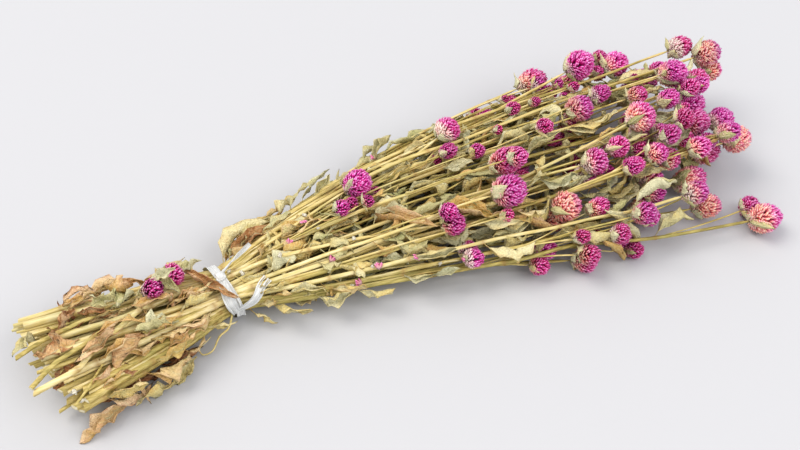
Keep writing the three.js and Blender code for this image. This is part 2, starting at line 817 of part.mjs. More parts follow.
const distanceToHead = (head, [x, y, z], p) => Math.hypot(p.x - x, p.y - y, p.z - z) - headReach(head);

// Whether all of a leaf's points are clear of the floor, the tie, the stems, the heads and the other leaves.
function leafIsClear(leaf, stems, middles, placed, tailPoints) {
  if (Math.max(...leaf.points.map((p) => Math.hypot(...toDisc(p.y, p.z, p.x)))) < LEAF_SHOWS) return false;
  for (const p of leaf.points) {
    if (p.z < LEAF_FLOOR) return false;
    const outside = Math.hypot(...toDisc(p.y, p.z, p.x)) - 1;
    if (outside * envelope(p.x).halfWidth > LEAF_REACH) return false;
    const inTieZone = Math.abs(p.x - tieX(p.y)) < TIE_ZONE;
    if (inTieZone && Math.hypot(p.y, p.z - TIE_HEIGHT) < 2 * TIE_HALF_WIDTH) return false;
    if (tailPoints.some((q) => p.distanceTo(q) < TAIL_CLEARANCE)) return false;
    if (stems.some((head, i) => distanceToHead(head, middles[i], p) < LEAF_CLEARANCE)) return false;
    for (const stem of stems) {
      if (distanceTo(stem, p) < (stem === leaf.stem ? OWN_STEM_CLEARANCE : LEAF_CLEARANCE)) return false;
    }
  }
  for (const other of placed) {
    const within = other.length + leaf.length + LEAVES_APART;
    if (other.root.distanceTo(leaf.root) < within && !pointsAreApart(leaf.points, other.points)) return false;
  }
  return true;
}

// A leaf that leaves a stem at x, turned about the stem by turn and away from it by tilt.
function leafOn(stem, x, turn, tilt, shape) {
  const k = clamp(Math.floor((x - FIRST_STATION) / STATION_STEP), stem.first, stem.last);
  const t = (x - stationX(k)) / STATION_STEP;
  const low = new THREE.Vector3(stationX(k), stem.y[k], stem.z[k]);
  const high = new THREE.Vector3(stationX(k + 1), stem.y[k + 1], stem.z[k + 1]);
  const along = high.clone().sub(low).normalize();
  const [level, up] = crossing(along);
  const outward = level.multiplyScalar(Math.cos(turn)).addScaledVector(up, Math.sin(turn));
  const direction = along.clone().multiplyScalar(Math.cos(tilt)).addScaledVector(outward, Math.sin(tilt));
  const normal = outward.clone().multiplyScalar(Math.cos(tilt)).addScaledVector(along, -Math.sin(tilt));
  const side = normal.clone().cross(direction);
  const node = low.lerp(high, t);
  const root = node
    .clone()
    .addScaledVector(along, STALK_LENGTH * Math.cos(STALK_TILT))
    .addScaledVector(outward, STALK_LENGTH * Math.sin(STALK_TILT));
  return { ...shape, node, root, along: direction, side, normal, stem, spray: stem.spray };
}

// Pairs of leaves up every stem that is cut below. Each is turned about its stem until it hangs clear.
function placeLeaves(stems, tailPoints) {
  const draw = drawsFrom(LEAF_SEED);
  const middles = stems.map(headMiddle);
  const placed = [];
  for (const stem of stems) {
    if (stem.parent >= 0) continue;
    let x = stem.cutX + LOWEST_NODE + LOW_NODE_SPACING[0] * draw();
    let phase = 2 * Math.PI * draw();
    while (x < stem.headX - LEAFLESS_NECK) {
      for (const opposite of [0, Math.PI]) {
        const shape = {
          length: between(LEAF_LENGTH, draw()),
          width: between(LEAF_WIDTH, draw()),
          curl: between(LEAF_CURL, draw()) || LEAST_CURL,
          fold: between(LEAF_FOLD, draw()),
          twist: between(LEAF_TWIST, draw()),
        };
        const wanted = draw() < LEAF_SHARE;
        if (!wanted) continue;
        for (let tries = 0; tries < LEAF_TRIES; tries++) {
          const turn = phase + opposite + tries * LEAF_TURN;
          const tilt = LEAF_TILTS[tries % LEAF_TILTS.length];
          const scale = LEAF_SCALES[Math.floor((tries * LEAF_SCALES.length) / LEAF_TRIES)];
          const leaf = leafOn(stem, x, turn, tilt, shape);
          leaf.length *= scale;
          leaf.width *= scale;
          leaf.points = leafPoints(leaf);
          if (!leafIsClear(leaf, stems, middles, placed, tailPoints)) continue;
          placed.push(leaf);
          break;
        }
      }
      phase += Math.PI / 2;
      x += between(x < 0 ? LOW_NODE_SPACING : NODE_SPACING, draw());
    }
  }
  return placed;
}

// Gives each head a collar, turned until it is clear of other stems, heads and leaves, or none.
function placeCollars(stems, leaves) {
  const middles = stems.map(headMiddle);
  stems.forEach((stem, i) => {
    for (let tries = 0; tries < COLLAR_TRIES && !stem.collar; tries++) {
      stem.turn = i + (Math.PI * tries) / COLLAR_TRIES;
      const [root, rim] = collarRings(stem, COLLAR_REACH * stem.headRadius);
      const sides = [0, 2].map((n) => root[n].clone().lerp(rim[n], 0.5));
      const points = [...rim, ...sides];
      stem.collar = collarIsClear(points, i, stems, middles, leaves);
    }
  });
}

function collarIsClear(points, own, stems, middles, leaves) {
  for (const p of points) {
    if (p.z < COLLAR_SPACE) return false;
    for (let i = 0; i < stems.length; i++) {
      if (i === own) continue;
      if (distanceToHead(stems[i], middles[i], p) < COLLAR_SPACE) return false;
      if (distanceTo(stems[i], p) < COLLAR_SPACE) return false;
    }
  }
  return leaves.every((leaf) => pointsAreApart(points, leaf.points));
}

// A head: a globe whose surface is raised in pointed scales, row above row, that lean towards its tip.
function headSolid(stem) {
  const axis = headAxis(stem);
  const [across, up] = crossing(axis);
  const middle = new THREE.Vector3(...headMiddle(stem));
  const half = headHalf(stem);
  const at = (polar, turn, share) =>
    middle
      .clone()
      .addScaledVector(axis, -half * share * Math.cos(polar))
      .addScaledVector(across, stem.headRadius * share * Math.sin(polar) * Math.cos(turn))
      .addScaledVector(up, stem.headRadius * share * Math.sin(polar) * Math.sin(turn));
  const rows = SCALE_ROWS;
  const rowStep = Math.PI / (rows + 2 * FIRST_ROW - 1);
  const points = [at(0, 0, 1)];
  for (let row = 0; row < rows; row++) {
    for (let n = 0; n < 2 * SCALES_ROUND; n++) {
      const raised = (n + row) % 2 === 0;
      const polar = rowStep * (row + FIRST_ROW) + (raised ? SCALE_LEAN : 0);
      points.push(at(polar, (Math.PI * n) / SCALES_ROUND, raised ? 1 : SCALE_VALLEY));
    }
  }
  points.push(at(Math.PI, 0, 1));
  const around = 2 * SCALES_ROUND;
  const tip = points.length - 1;
  const triangles = [];
  for (let n = 0; n < around; n++) {
    const next = (n + 1) % around;
    triangles.push(0, 1 + next, 1 + n);
    const top = 1 + (rows - 1) * around;
    triangles.push(tip, top + n, top + next);
    for (let row = 0; row + 1 < rows; row++) {
      const a = 1 + row * around + n;
      const b = 1 + row * around + next;
      triangles.push(a, b, a + around, b, b + around, a + around);
    }
  }
  return solidFrom(points, triangles);
}

// Where the middle of the slanted band stands along the bunch, at y.
const tieX = (y) => TIE_X - TIE_SLANT * y;

// How far the stems reach at x, in a direction across the bunch, from the middle line of the tie.
function reachAt(stems, x, angle) {
  const k = Math.floor((x - FIRST_STATION) / STATION_STEP);
  const t = (x - stationX(k)) / STATION_STEP;
  let most = 0;
  for (const stem of stems) {
    if (k < stem.first || k > stem.last) continue;
    const y = stem.y[k] + t * (stem.y[k + 1] - stem.y[k]);
    const z = stem.z[k] + t * (stem.z[k + 1] - stem.z[k]) - TIE_HEIGHT;
    most = Math.max(most, y * Math.cos(angle) + z * Math.sin(angle) + radiusAt(stem, x));
  }
  return most;
}

// The outline round all the stems at x, in a direction from that middle line: how far, and facing which way.
function outlineAt(stems, x, angle) {
  let reach = Infinity;
  let facing = angle;
  for (let n = -OUTLINE_STEPS; n <= OUTLINE_STEPS; n++) {
    const off = (n * OUTLINE_SPAN) / OUTLINE_STEPS;
    const far = reachAt(stems, x, angle + off) / Math.cos(off);
    if (far < reach) {
      reach = far;
      facing = angle + off;
    }
  }
  return { reach, facing };
}

// The tape's path round the stems: corners where its flats meet, at a clearance from the stems.
function tieCorners(stems, clearance) {
  const step = (2 * Math.PI) / TAPE_FLATS;
  const reach = Array.from({ length: TAPE_FLATS }, (_, n) => {
    const x = tieX(TIE_HALF_WIDTH * Math.cos(n * step));
    const edges = [-TAPE_WIDTH / 2, TAPE_WIDTH / 2].map((edge) => reachAt(stems, x + edge, n * step));
    return clearance + Math.max(...edges);
  });
  const under = (3 * TAPE_FLATS) / 4;
  reach[under] = TIE_HEIGHT - TAPE_THICKNESS - TAPE_CLEARANCE + clearance;
  return reach.map((a, n) => {
    const b = reach[(n + 1) % TAPE_FLATS];
    const angle = n * step;
    const slide = (b - a * Math.cos(step)) / Math.sin(step);
    return new THREE.Vector2(
      a * Math.cos(angle) - slide * Math.sin(angle),
      a * Math.sin(angle) + slide * Math.cos(angle) + TIE_HEIGHT,
    );
  });
}

// The path of a free end of the tape, laid over the stems.
function tailPath(stems, laid) {
  return laid.map(([x, degrees, lift]) => {
    const angle = (degrees * Math.PI) / 180;
    const { reach, facing } = outlineAt(stems, x, angle);
    const outward = new THREE.Vector3(0, Math.cos(facing), Math.sin(facing));
    const point = new THREE.Vector3(x, reach * Math.cos(angle), TIE_HEIGHT + reach * Math.sin(angle));
    return { point: point.addScaledVector(outward, TAPE_CLEARANCE + TAPE_THICKNESS / 2 + lift), outward };
  });
}

function ribbon(path, width, roll) {
  const rings = path.map(({ point, outward }, i) => {
    const before = path[Math.max(0, i - 1)].point;
    const after = path[Math.min(path.length - 1, i + 1)].point;
    const along = after.clone().sub(before).normalize();
    const side = along.clone().cross(outward).normalize();
    side.applyAxisAngle(along, (roll * i) / (path.length - 1));
    const face = side.clone().cross(along);
    const corner = (a, b) =>
      point
        .clone()
        .addScaledVector(side, (a * width) / 2)
        .addScaledVector(face, (b * TAPE_THICKNESS) / 2);
    return [corner(-1, -1), corner(-1, 1), corner(1, 1), corner(1, -1)];
  });
  return loft(rings);
}

// The tie: a band round the stems, a knot on top and two free ends.
function tieSolid(stems, tails) {
  const inner = tieCorners(stems, TAPE_CLEARANCE);
  const outer = tieCorners(stems, TAPE_CLEARANCE + TAPE_THICKNESS);
  const shape = new THREE.Shape(outer);
  shape.holes.push(new THREE.Path(inner.reverse()));
  const band = new THREE.ExtrudeGeometry(shape, { depth: TAPE_WIDTH, bevelEnabled: false, steps: 1 });
  band.translate(0, 0, TIE_X - TAPE_WIDTH / 2);
  band.applyMatrix4(new THREE.Matrix4().set(-TIE_SLANT, 0, 1, 0, 1, 0, 0, 0, 0, 1, 0, 0, 0, 0, 0, 1));
  const [over] = tailPath(stems, [[TIE_X, KNOT_TURN, 0]]);
  const knot = new THREE.SphereGeometry(1, ...KNOT_FLATS).scale(...KNOT_SIZE);
  knot.translate(over.point.x, over.point.y, over.point.z + TAPE_THICKNESS / 2 + KNOT_SIZE[2] / 2);
  const ends = tails.map(({ path, width, roll }) => ribbon(path, width, roll));
  return wasm.Manifold.union([fromGeometry(band), fromGeometry(knot), ...ends]);
}

function toMesh(solid, name, material) {
  const mesh = solid.getMesh();
  const geometry = new THREE.BufferGeometry();
  geometry.setAttribute("position", new THREE.BufferAttribute(mesh.vertProperties, 3));
  geometry.setIndex(new THREE.BufferAttribute(mesh.triVerts, 1));
  const part = new THREE.Mesh(geometry, material);
  part.name = name;
  return part;
}

// A spray: three stems pressed together at the tie, with their flowering shoots and leaves.
function spraySolid(spray, stems, leaves) {
  const own = stems.filter((stem) => stem.spray === spray);
  const ownLeaves = leaves.filter((leaf) => leaf.spray === spray);
  return wasm.Manifold.union([...own.map(stemSolid), ...ownLeaves.map(leafSolid)]);
}

// The head of a stem, grown together with its shoot's head. A low head is pressed flat where it rests.
function headsSolid(stem, i, stems) {
  const twin = stems.find((other) => other.parent === i && !other.alone);
  const solids = twin ? [headSolid(stem), headSolid(twin)] : [headSolid(stem)];
  return wasm.Manifold.union(solids).trimByPlane([0, 0, 1], 0);
}

const stems = layOutBunch();
const tails = [TWISTED_END, FLAT_END].map((end) => ({ ...end, path: tailPath(stems, end.laid) }));
const tailPoints = tails.flatMap(({ path }) =>
  path.slice(1).flatMap(({ point }, i) => [point, point.clone().lerp(path[i].point, 0.5)]),
);
const leaves = placeLeaves(stems, tailPoints);
placeCollars(stems, leaves);

const dryStem = new THREE.MeshStandardMaterial({ name: "dry_stem", color: 0xb5ad68, roughness: 0.8 });
const dryFlower = new THREE.MeshStandardMaterial({ name: "dry_flower", color: 0xb8327f, roughness: 0.75 });
const whiteTape = new THREE.MeshStandardMaterial({ name: "white_tape", color: 0xe6e6e8, roughness: 0.4 });
for (const material of [dryStem, dryFlower, whiteTape]) material.metalness = 0;

const numbered = (name, i) => `${name}_${String(i + 1).padStart(2, "0")}`;
const group = new THREE.Group();
group.name = "dried_globe_amaranth";
const sprays = RINGS.reduce((sum, ring) => sum + ring.stems / STEMS_IN_SPRAY, 0);
for (let i = 0; i < sprays; i++) {
  group.add(toMesh(spraySolid(i, stems, leaves), numbered("spray", i), dryStem));
}
const headSolids = stems.flatMap((stem, i) =>
  stem.parent < 0 || stem.alone ? [headsSolid(stem, i, stems)] : [],
);
headSolids.forEach((solid, i) => group.add(toMesh(solid, numbered("head", i), dryFlower)));
group.add(toMesh(tieSolid(stems, tails), "tie", whiteTape));
export default group;
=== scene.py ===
import json
import math

import bmesh
import bpy
import numpy as np
from mathutils import Matrix, Vector, noise

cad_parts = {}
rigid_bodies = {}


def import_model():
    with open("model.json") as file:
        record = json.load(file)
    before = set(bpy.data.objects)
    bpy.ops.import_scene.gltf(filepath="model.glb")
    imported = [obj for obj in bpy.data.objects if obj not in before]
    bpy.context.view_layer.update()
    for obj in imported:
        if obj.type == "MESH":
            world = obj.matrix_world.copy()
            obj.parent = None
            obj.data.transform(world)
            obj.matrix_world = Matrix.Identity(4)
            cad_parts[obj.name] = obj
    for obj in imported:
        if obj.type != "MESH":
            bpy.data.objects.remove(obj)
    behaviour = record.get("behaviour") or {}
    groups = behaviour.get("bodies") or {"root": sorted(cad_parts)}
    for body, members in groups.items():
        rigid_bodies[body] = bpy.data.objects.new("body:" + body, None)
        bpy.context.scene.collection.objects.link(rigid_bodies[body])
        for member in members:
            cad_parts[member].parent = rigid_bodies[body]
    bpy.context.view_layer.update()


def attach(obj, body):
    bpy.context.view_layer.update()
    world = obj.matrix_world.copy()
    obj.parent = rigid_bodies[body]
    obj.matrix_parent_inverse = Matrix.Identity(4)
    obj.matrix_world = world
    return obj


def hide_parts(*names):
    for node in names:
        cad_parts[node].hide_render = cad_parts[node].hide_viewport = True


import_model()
MM = 0.001


# The bunch lies on a pale studio table, and the camera looks down on it from its near side. Its place
# was worked out from the heads and cut ends, at 50 degrees across the picture.
CAMERA_TARGET = Vector((134.2, 2.7, 20.0)) * MM
CAMERA_DISTANCE = 637.2 * MM
CAMERA_AZIMUTH = math.radians(-23)
CAMERA_ELEVATION = math.radians(50)
FIELD_OF_VIEW = math.radians(50)
NEAREST_SEEN = 0.01

back = Vector((
    math.sin(CAMERA_AZIMUTH) * math.cos(CAMERA_ELEVATION),
    -math.cos(CAMERA_AZIMUTH) * math.cos(CAMERA_ELEVATION),
    math.sin(CAMERA_ELEVATION),
))
camera = bpy.data.objects.new("camera", bpy.data.cameras.new("camera"))
camera.data.angle = FIELD_OF_VIEW
camera.data.clip_start = NEAREST_SEEN
camera.location = CAMERA_TARGET + back * CAMERA_DISTANCE
camera.rotation_mode = "QUATERNION"
camera.rotation_quaternion = (-back).to_track_quat("-Z", "Y")
bpy.context.scene.collection.objects.link(camera)
bpy.context.scene.camera = camera
bpy.context.scene.view_settings.view_transform = "Standard"
bpy.context.scene.view_settings.look = "Medium High Contrast"


def linear(code):
    """A colour given as sRGB hex digits, as Blender's linear RGBA."""
    channels = [int(code[i:i + 2], 16) / 255 for i in (0, 2, 4)]
    return (*[c / 12.92 if c <= 0.04045 else ((c + 0.055) / 1.055) ** 2.4 for c in channels], 1.0)


def new_material(name):
    """A material with only its surface shader, and that shader's node."""
    material = bpy.data.materials.new(name)
    material.use_nodes = True
    return material, material.node_tree.nodes["Principled BSDF"]


def join(node, inputs):
    """Gives a node's inputs, by name or number, a value or the output of another node."""
    for name, value in inputs.items():
        if isinstance(value, bpy.types.NodeSocket):
            node.id_data.links.new(value, node.inputs[name])
        else:
            node.inputs[name].default_value = value


def add_node(material, kind, inputs=None, stops=(), **settings):
    """Adds a shader node with what join gives its inputs, the stops of its colour ramp, and settings,
    which are its properties, or its inputs by name."""
    node = material.node_tree.nodes.new(kind)
    for place, code in stops[2:]:
        node.color_ramp.elements.new(place)
    for element, (place, code) in zip(node.color_ramp.elements if stops else (), stops):
        element.position = place
        element.color = linear(code)
    for name, value in settings.items():
        if hasattr(node, name):
            setattr(node, name, value)
        else:
            node.inputs[name].default_value = value
    join(node, inputs or {})
    return node


# The table: one wide sheet of matt pale card just under the bunch, for soft shadows without gloss.
TABLE_SIZE = 12.0
TABLE_COLOUR = "bababd"
TABLE_ROUGHNESS = 0.9
TABLE_DEPTH = 0.0004

table_material, surface = new_material("matt_studio_card")
join(surface, {"Base Color": linear(TABLE_COLOUR), "Roughness": TABLE_ROUGHNESS})
grown = bmesh.new()
bmesh.ops.create_grid(grown, x_segments=1, y_segments=1, size=TABLE_SIZE / 2)
bmesh.ops.translate(grown, verts=grown.verts, vec=(0, 0, -TABLE_DEPTH))
mesh = bpy.data.meshes.new("table")
grown.to_mesh(mesh)
grown.free()
mesh.materials.append(table_material)
table = bpy.data.objects.new("table", mesh)
bpy.context.scene.collection.objects.link(table)

# Soft light: an even pale sky, a large soft lamp behind and to the left, and a weaker one in front. Each
# lamp: its place, size, power and colour.
SKY_COLOUR = "f2f4f8"
SKY_STRENGTH = 0.88
LAMPS = [
    ((-2.2, 1.8, 4.6), 3.2, 168.0, "fffaf2"),
    ((1.8, -2.2, 2.6), 2.6, 56.0, "fffdf8"),
]
world = bpy.data.worlds.new("studio")
world.use_nodes = True
join(world.node_tree.nodes["Background"], {"Color": linear(SKY_COLOUR), "Strength": SKY_STRENGTH})
bpy.context.scene.world = world
for number, (place, size, power, colour) in enumerate(LAMPS):
    lamp = bpy.data.lights.new(f"lamp_{number}", "AREA")
    lamp.size = size
    lamp.energy = power
    lamp.color = linear(colour)[:3]
    holder = bpy.data.objects.new(lamp.name, lamp)
    holder.location = place
    holder.rotation_mode = "QUATERNION"
    holder.rotation_quaternion = (CAMERA_TARGET - Vector(place)).to_track_quat("-Z", "Y")
    bpy.context.scene.collection.objects.link(holder)


# The bunch: cut flowering stems, held where the tape goes round them and spreading both ways. Their
# places are worked out by the rule that the solids follow, in millimetres, with the same repeatable
# draws. Its outline is an oval at each x, narrow at the tie and wide at the flowers, with some twist.
FIRST_STATION = -136.0
STATION_STEP = 34.0
STATION_COUNT = 18
TIE_STATION = 4
TIE_HALF_WIDTH = 23.0
TIE_HALF_HEIGHT = 15.5
TIE_HEIGHT = 17.0
BUTT_X = -122.0
BUTT_SPREAD = 21.0
BUTT_FLARE = 1.1
BUTT_RISE = 4.5
BUTT_SIDEWAYS = -20.0
BUTT_TWIST = -0.55
FLOWER_SPREAD = 52.0
FLOWER_FLARE = 0.8
FLOWER_RISE = 13.0
FLOWER_SIDEWAYS = 2.0
FLOWER_BULGE = 13.0
FLOWER_TWIST = 0.2
WIDEST_X = 360.0
BULGE_END_X = 300.0


def draws_from(seed):
    """Repeatable draws between 0 and 1, from a 32-bit linear congruential generator."""
    state = seed
    while True:
        state = (state * 1664525 + 1013904223) % 2 ** 32
        yield state / 2 ** 32


def between(limits, share):
    return limits[0] + (limits[1] - limits[0]) * share


def station_x(k):
    return FIRST_STATION + STATION_STEP * k


def envelope(x):
    """The stems' envelope at x: its middle, its half-sizes across and up, and its twist."""
    below, above = np.maximum(0, x / BUTT_X), np.clip(x / WIDEST_X, 0, 1)
    bulge = np.sin(math.pi * np.clip(x / BULGE_END_X, 0, 1))
    is_butt = np.less(x, 0)
    return (
        np.where(is_butt, BUTT_SIDEWAYS * below, FLOWER_SIDEWAYS * x / WIDEST_X + FLOWER_BULGE * bulge),
        TIE_HEIGHT + BUTT_RISE * below + FLOWER_RISE * above,
        TIE_HALF_WIDTH + BUTT_SPREAD * below ** BUTT_FLARE
        + FLOWER_SPREAD * np.sin(above * math.pi / 2) ** FLOWER_FLARE,
        TIE_HALF_HEIGHT + BUTT_RISE * below + FLOWER_RISE * above,
        BUTT_TWIST * below + FLOWER_TWIST * above,
    )


def from_disc(u, v, x):
    y, z, half_width, half_height, twist = envelope(x)
    c, s = np.cos(twist), np.sin(twist)
    return y + half_width * (c * u - s * v), z + half_height * (s * u + c * v)


def to_disc(y, z, x):
    middle_y, middle_z, half_width, half_height, twist = envelope(x)
    c, s = np.cos(twist), np.sin(twist)
    a, b = (y - middle_y) / half_width, (z - middle_z) / half_height
    return c * a + s * b, -s * a + c * b


# The stems as they start out: three rings round the middle of the tie, three stems to a spray. Each has
# its own thickness, bends and place for its head. Some fork into a short shoot with a smaller head.
LAYOUT_SEED = 20
RINGS = [(6, 0.3, 70), (15, 0.64, 130), (21, 0.97, 230)]
STEMS_IN_SPRAY = 3
WANDER = 0.34
BUTT_WANDER = 0.3
BUTT_RADIUS = (2.4, 3.0)
NECK_RADIUS = (0.95, 1.15)
NECK_LENGTH = 8.0
CUT_SPREAD = 12.0
BUTT_SLANT = -0.29
END_BEND = 1.5
FLOWER_X = 410.0
SETBACK_BIAS = 1.25
HEAD_RADIUS = (8.6, 11.4)
HEAD_STRETCH = (1.0, 1.08)
HEAD_LEAN = (7.0, 6.0)
LONG_HEAD_SHARE = 0.22
LONG_HEAD_STRETCH = 1.24
BARE_IN_FIVE = (2, 4)
SHOOT_RADIUS = 0.85
SHOOT_LAG = (-10.0, 6.0)
TWIN_RADIUS = (5.8, 8.4)
TWIN_SQUEEZE = 0.84
LOW_SHOOT_STATION = 2
LOW_SHOOT_REACH = 3.0

# Heads that stand out in the bunch, and two low ones near the cut ends: x, y, z and radius.
LANDMARK_HEADS = [
    (394, -91, 13, 11.5), (360, -65, 13, 9.5), (410, -21, 31, 10.5), (405, 25, 47, 9.5),
    (411, 62, 56, 9.5), (427, 47, 56, 10.5), (364, -38, 16, 10.5), (250, -67, 11, 9.5),
    (286, -65, 11, 9), (170, -44, 15, 7), (112, 28, 42, 10), (236, 72, 38, 8.5),
    (288, 81, 42, 10.5), (320, 76, 49, 11.5), (357, 70, 52, 10.5), (196, 55, 43, 9.5),
    (217, -3, 58, 10), (208, -28, 50, 11.5), (163, -21, 42, 8.5), (248, -42, 35, 11),
    (224, -56, 14, 8), (282, -21, 48, 10), (301, 37, 52, 10), (327, -40, 22, 9.5),
    (313, -59, 15, 10.5), (330, -1, 60, 11), (384, 33, 58, 11),
]
LOW_HEADS = [(-32, 6, 45, 9), (-47, -3, 45, 8.4)]


def each(stems, key):
    """One value of every stem."""
    return np.array([stem[key] for stem in stems])


def start_stems(draw):
    """The stems as they start out: where each passes the tie, how thick it is and where its head sits."""
    stems = []
    spray = 0
    for r, (count, reach, setback) in enumerate(RINGS):
        for n in range(count):
            angle = (n + 0.5 * r) / count * 2 * math.pi
            stem = {"spray": spray + n // STEMS_IN_SPRAY, "ring": r, "parent": -1, "first": 0}
            stem["head_radius"] = between(HEAD_RADIUS, next(draw))
            stem["u"], stem["v"] = reach * math.cos(angle), reach * math.sin(angle)
            stem["wander"] = [(next(draw) - 0.5) * WANDER for _ in range(2)]
            stem["butt_wander"] = [(next(draw) - 0.5) * BUTT_WANDER for _ in range(2)]
            stem["butt_radius"] = between(BUTT_RADIUS, next(draw))
            stem["neck_radius"] = between(NECK_RADIUS, next(draw))
            stem["head_x"] = FLOWER_X - setback * next(draw) ** SETBACK_BIAS
            is_long = next(draw) < LONG_HEAD_SHARE
            stem["stretch"] = LONG_HEAD_STRETCH if is_long else between(HEAD_STRETCH, next(draw))
            stem["lean"] = [(next(draw) - 0.5) * most for most in HEAD_LEAN]
            stem["cut"] = (next(draw) - 0.5) * CUT_SPREAD
            stem["alone"] = False
            stem["end"] = None
            stems.append(stem)
        spray += count // STEMS_IN_SPRAY
    return stems


def place_landmarks(stems):
    """Each landmark head goes to the free stem that points nearest to it."""
    for x, y, z, radius in LANDMARK_HEADS:
        u, v = to_disc(y, z, x)
        shrink = RINGS[2][1] / max(1.0, math.hypot(u, v))
        free = [stem for stem in stems if stem["ring"] > 0 and stem["end"] is None]
        stem = min(free, key=lambda s: math.hypot(s["u"] - u * shrink, s["v"] - v * shrink))
        stem.update(end=[u, v], head_x=float(x), head_radius=radius, lean=[0.0, 0.0])
    for stem in stems:
        if stem["end"] is None:
            stem["end"] = [stem["u"] + stem["wander"][0], stem["v"] + stem["wander"][1]]


def half_height(stem):
    """Half the height of the head that a stem carries."""
    return stem["head_radius"] * stem["stretch"]


def last_station(stem):
    return math.floor((stem["head_x"] - half_height(stem) - NECK_LENGTH - FIRST_STATION) / STATION_STEP)


def add_shoots(stems, draw):
    """Short flowering shoots beside the longer stems' heads, and two low ones near the cut ends."""
    for i, stem in enumerate(list(stems)):
        first = last_station(stem) - 1
        if stem["ring"] == 0 or i % 5 in BARE_IN_FIVE or first <= TIE_STATION:
            continue
        shoot = dict(stem, parent=i, first=first, butt_radius=SHOOT_RADIUS, neck_radius=SHOOT_RADIUS)
        shoot["head_radius"] = between(TWIN_RADIUS, next(draw))
        shoot["head_x"] = stem["head_x"] + between(SHOOT_LAG, next(draw))
        shoot.update(stretch=1.0, lean=[0.0, 0.0], side=2 * math.pi * next(draw))
        stems.append(shoot)
    for x, y, z, radius in LOW_HEADS:
        u, v = to_disc(y, z - radius, x)
        away = [math.hypot(s["u"] - u, s["v"] - v) if s["parent"] < 0 else math.inf for s in stems]
        parent = away.index(min(away))
        stems.append(dict(
            stems[parent], parent=parent, alone=True, first=LOW_SHOOT_STATION, butt_radius=SHOOT_RADIUS,
            neck_radius=SHOOT_RADIUS, head_radius=radius, head_x=float(x), stretch=1.0, lean=[0.0, 0.0],
            end=[y, z]))


def radius_at(stem, x):
    share = np.clip((x - BUTT_X) / (stem["head_x"] - BUTT_X), 0, 1)
    return between((stem["butt_radius"], stem["neck_radius"]), share)


def draw_stems(stems):
    """Sets each stem's own points on the envelope, station by station."""
    for stem in stems:
        stem["last"] = last_station(stem)
        parent = stems[stem["parent"]]
        start = station_x(stem["first"])
        places = []
        for k in range(STATION_COUNT):
            x = station_x(k)
            if stem["alone"]:
                share = min(LOW_SHOOT_REACH, max(0.0, (x - start) / (stem["head_x"] - start)))
                places.append([p + share * (end - p) for p, end in zip(parent["at"][k], stem["end"])])
            elif stem["parent"] >= 0:
                share = max(0.0, (x - start) / (stem["head_x"] - start))
                apart = TWIN_SQUEEZE * (stem["head_radius"] + parent["head_radius"])
                turned = (math.cos(stem["side"]), math.sin(stem["side"]))
                places.append([p + apart * share * c for p, c in zip(parent["at"][k], turned)])
            elif x < 0:
                t = x / BUTT_X
                wander = stem["butt_wander"]
                places.append(from_disc(stem["u"] + wander[0] * t, stem["v"] + wander[1] * t, x))
            else:
                t = min(1.0, x / stem["head_x"]) ** END_BEND
                end = stem["end"]
                u, v = stem["u"] + (end[0] - stem["u"]) * t, stem["v"] + (end[1] - stem["v"]) * t
                places.append(from_disc(u, v, x))
        stem["at"] = np.array(places)
        stem["cut_x"] = BUTT_X + BUTT_SLANT * (stem["at"][0][0] - BUTT_SIDEWAYS) + stem["cut"]


# Where the tape goes round them the stems are pressed into a low oval. Those of one spray touch, and
# the others keep a gap, as the solids need it.
TIE_GAP = 1.15
TIE_FLATNESS = 0.3
TAPE_THICKNESS = 1.0
TAPE_CLEARANCE = 0.45
SQUEEZE = 0.62
PACK_ROUNDS = 500
PULLED_ROUNDS = 420
PACK_PULL = 0.03
PACK_PUSH = 0.4


def pack_tie(stems):
    """Packs the stems into the tie: each spray's stems are pressed together, clear of the other sprays'."""
    basal = [stem for stem in stems if stem["parent"] < 0]
    at = np.array([stem["at"][TIE_STATION] for stem in basal])
    radius = np.array([radius_at(stem, 0) for stem in basal])
    spray = np.array([stem["spray"] for stem in basal])
    i, j = np.triu_indices(len(basal), 1)
    pressed = (spray[i] == spray[j]) & (j == i + 1)
    reach = radius[i] + radius[j]
    need = np.where(pressed, SQUEEZE * reach, reach + TIE_GAP)
    floor = TAPE_THICKNESS + TAPE_CLEARANCE
    for round_number in range(PACK_ROUNDS):
        pull = PACK_PULL if round_number < PULLED_ROUNDS else 0.0
        move = pull * np.stack([-TIE_FLATNESS * at[:, 0], TIE_HEIGHT - at[:, 1]], 1)
        between_them = at[i] - at[j]
        apart = np.hypot(*between_them.T)
        push = np.where((apart < need) | pressed, PACK_PUSH * (need - apart) / apart, 0)
        np.add.at(move, i, between_them * push[:, None])
        np.add.at(move, j, -between_them * push[:, None])
        at += move
        at[:, 1] = np.maximum(floor + radius, at[:, 1])
    at[:, 1] += floor - min(at[:, 1] - radius)
    for stem, place in zip(basal, at):
        stem["at"][TIE_STATION] = place


# Then the whole bunch settles, in many small moves, until stems, shoots and heads only touch.
GAP = 0.55
OWN_GAP = 0.4
LEAST_APART = 0.2
SLOPE_ALLOWANCE = 1.06
LONG_HEAD_ROOM = 0.75
FLAT_DEPTH = 0.4
SETTLE_ROUNDS = 240
FINAL_ROUNDS = 120
SETTLE_STEP = 0.5
STRAIGHTEN = 0.2
FINAL_STRAIGHTEN = 0.02
HOMING = 0.15
NECK_SHARE = 0.5


def span(stem, k):
    """The share of interval k that a stem runs through."""
    if k < stem["first"] or k > stem["last"]:
        return 1.0, 0.0
    cut = min(1.0, max(0.0, (stem["cut_x"] - FIRST_STATION) / STATION_STEP))
    low = cut if k == 0 and stem["parent"] < 0 else 0.0
    tip = (stem["head_x"] - stem["head_radius"] * stem["stretch"] - station_x(k)) / STATION_STEP
    return low, min(1.0, max(0.0, tip)) if k == stem["last"] else 1.0


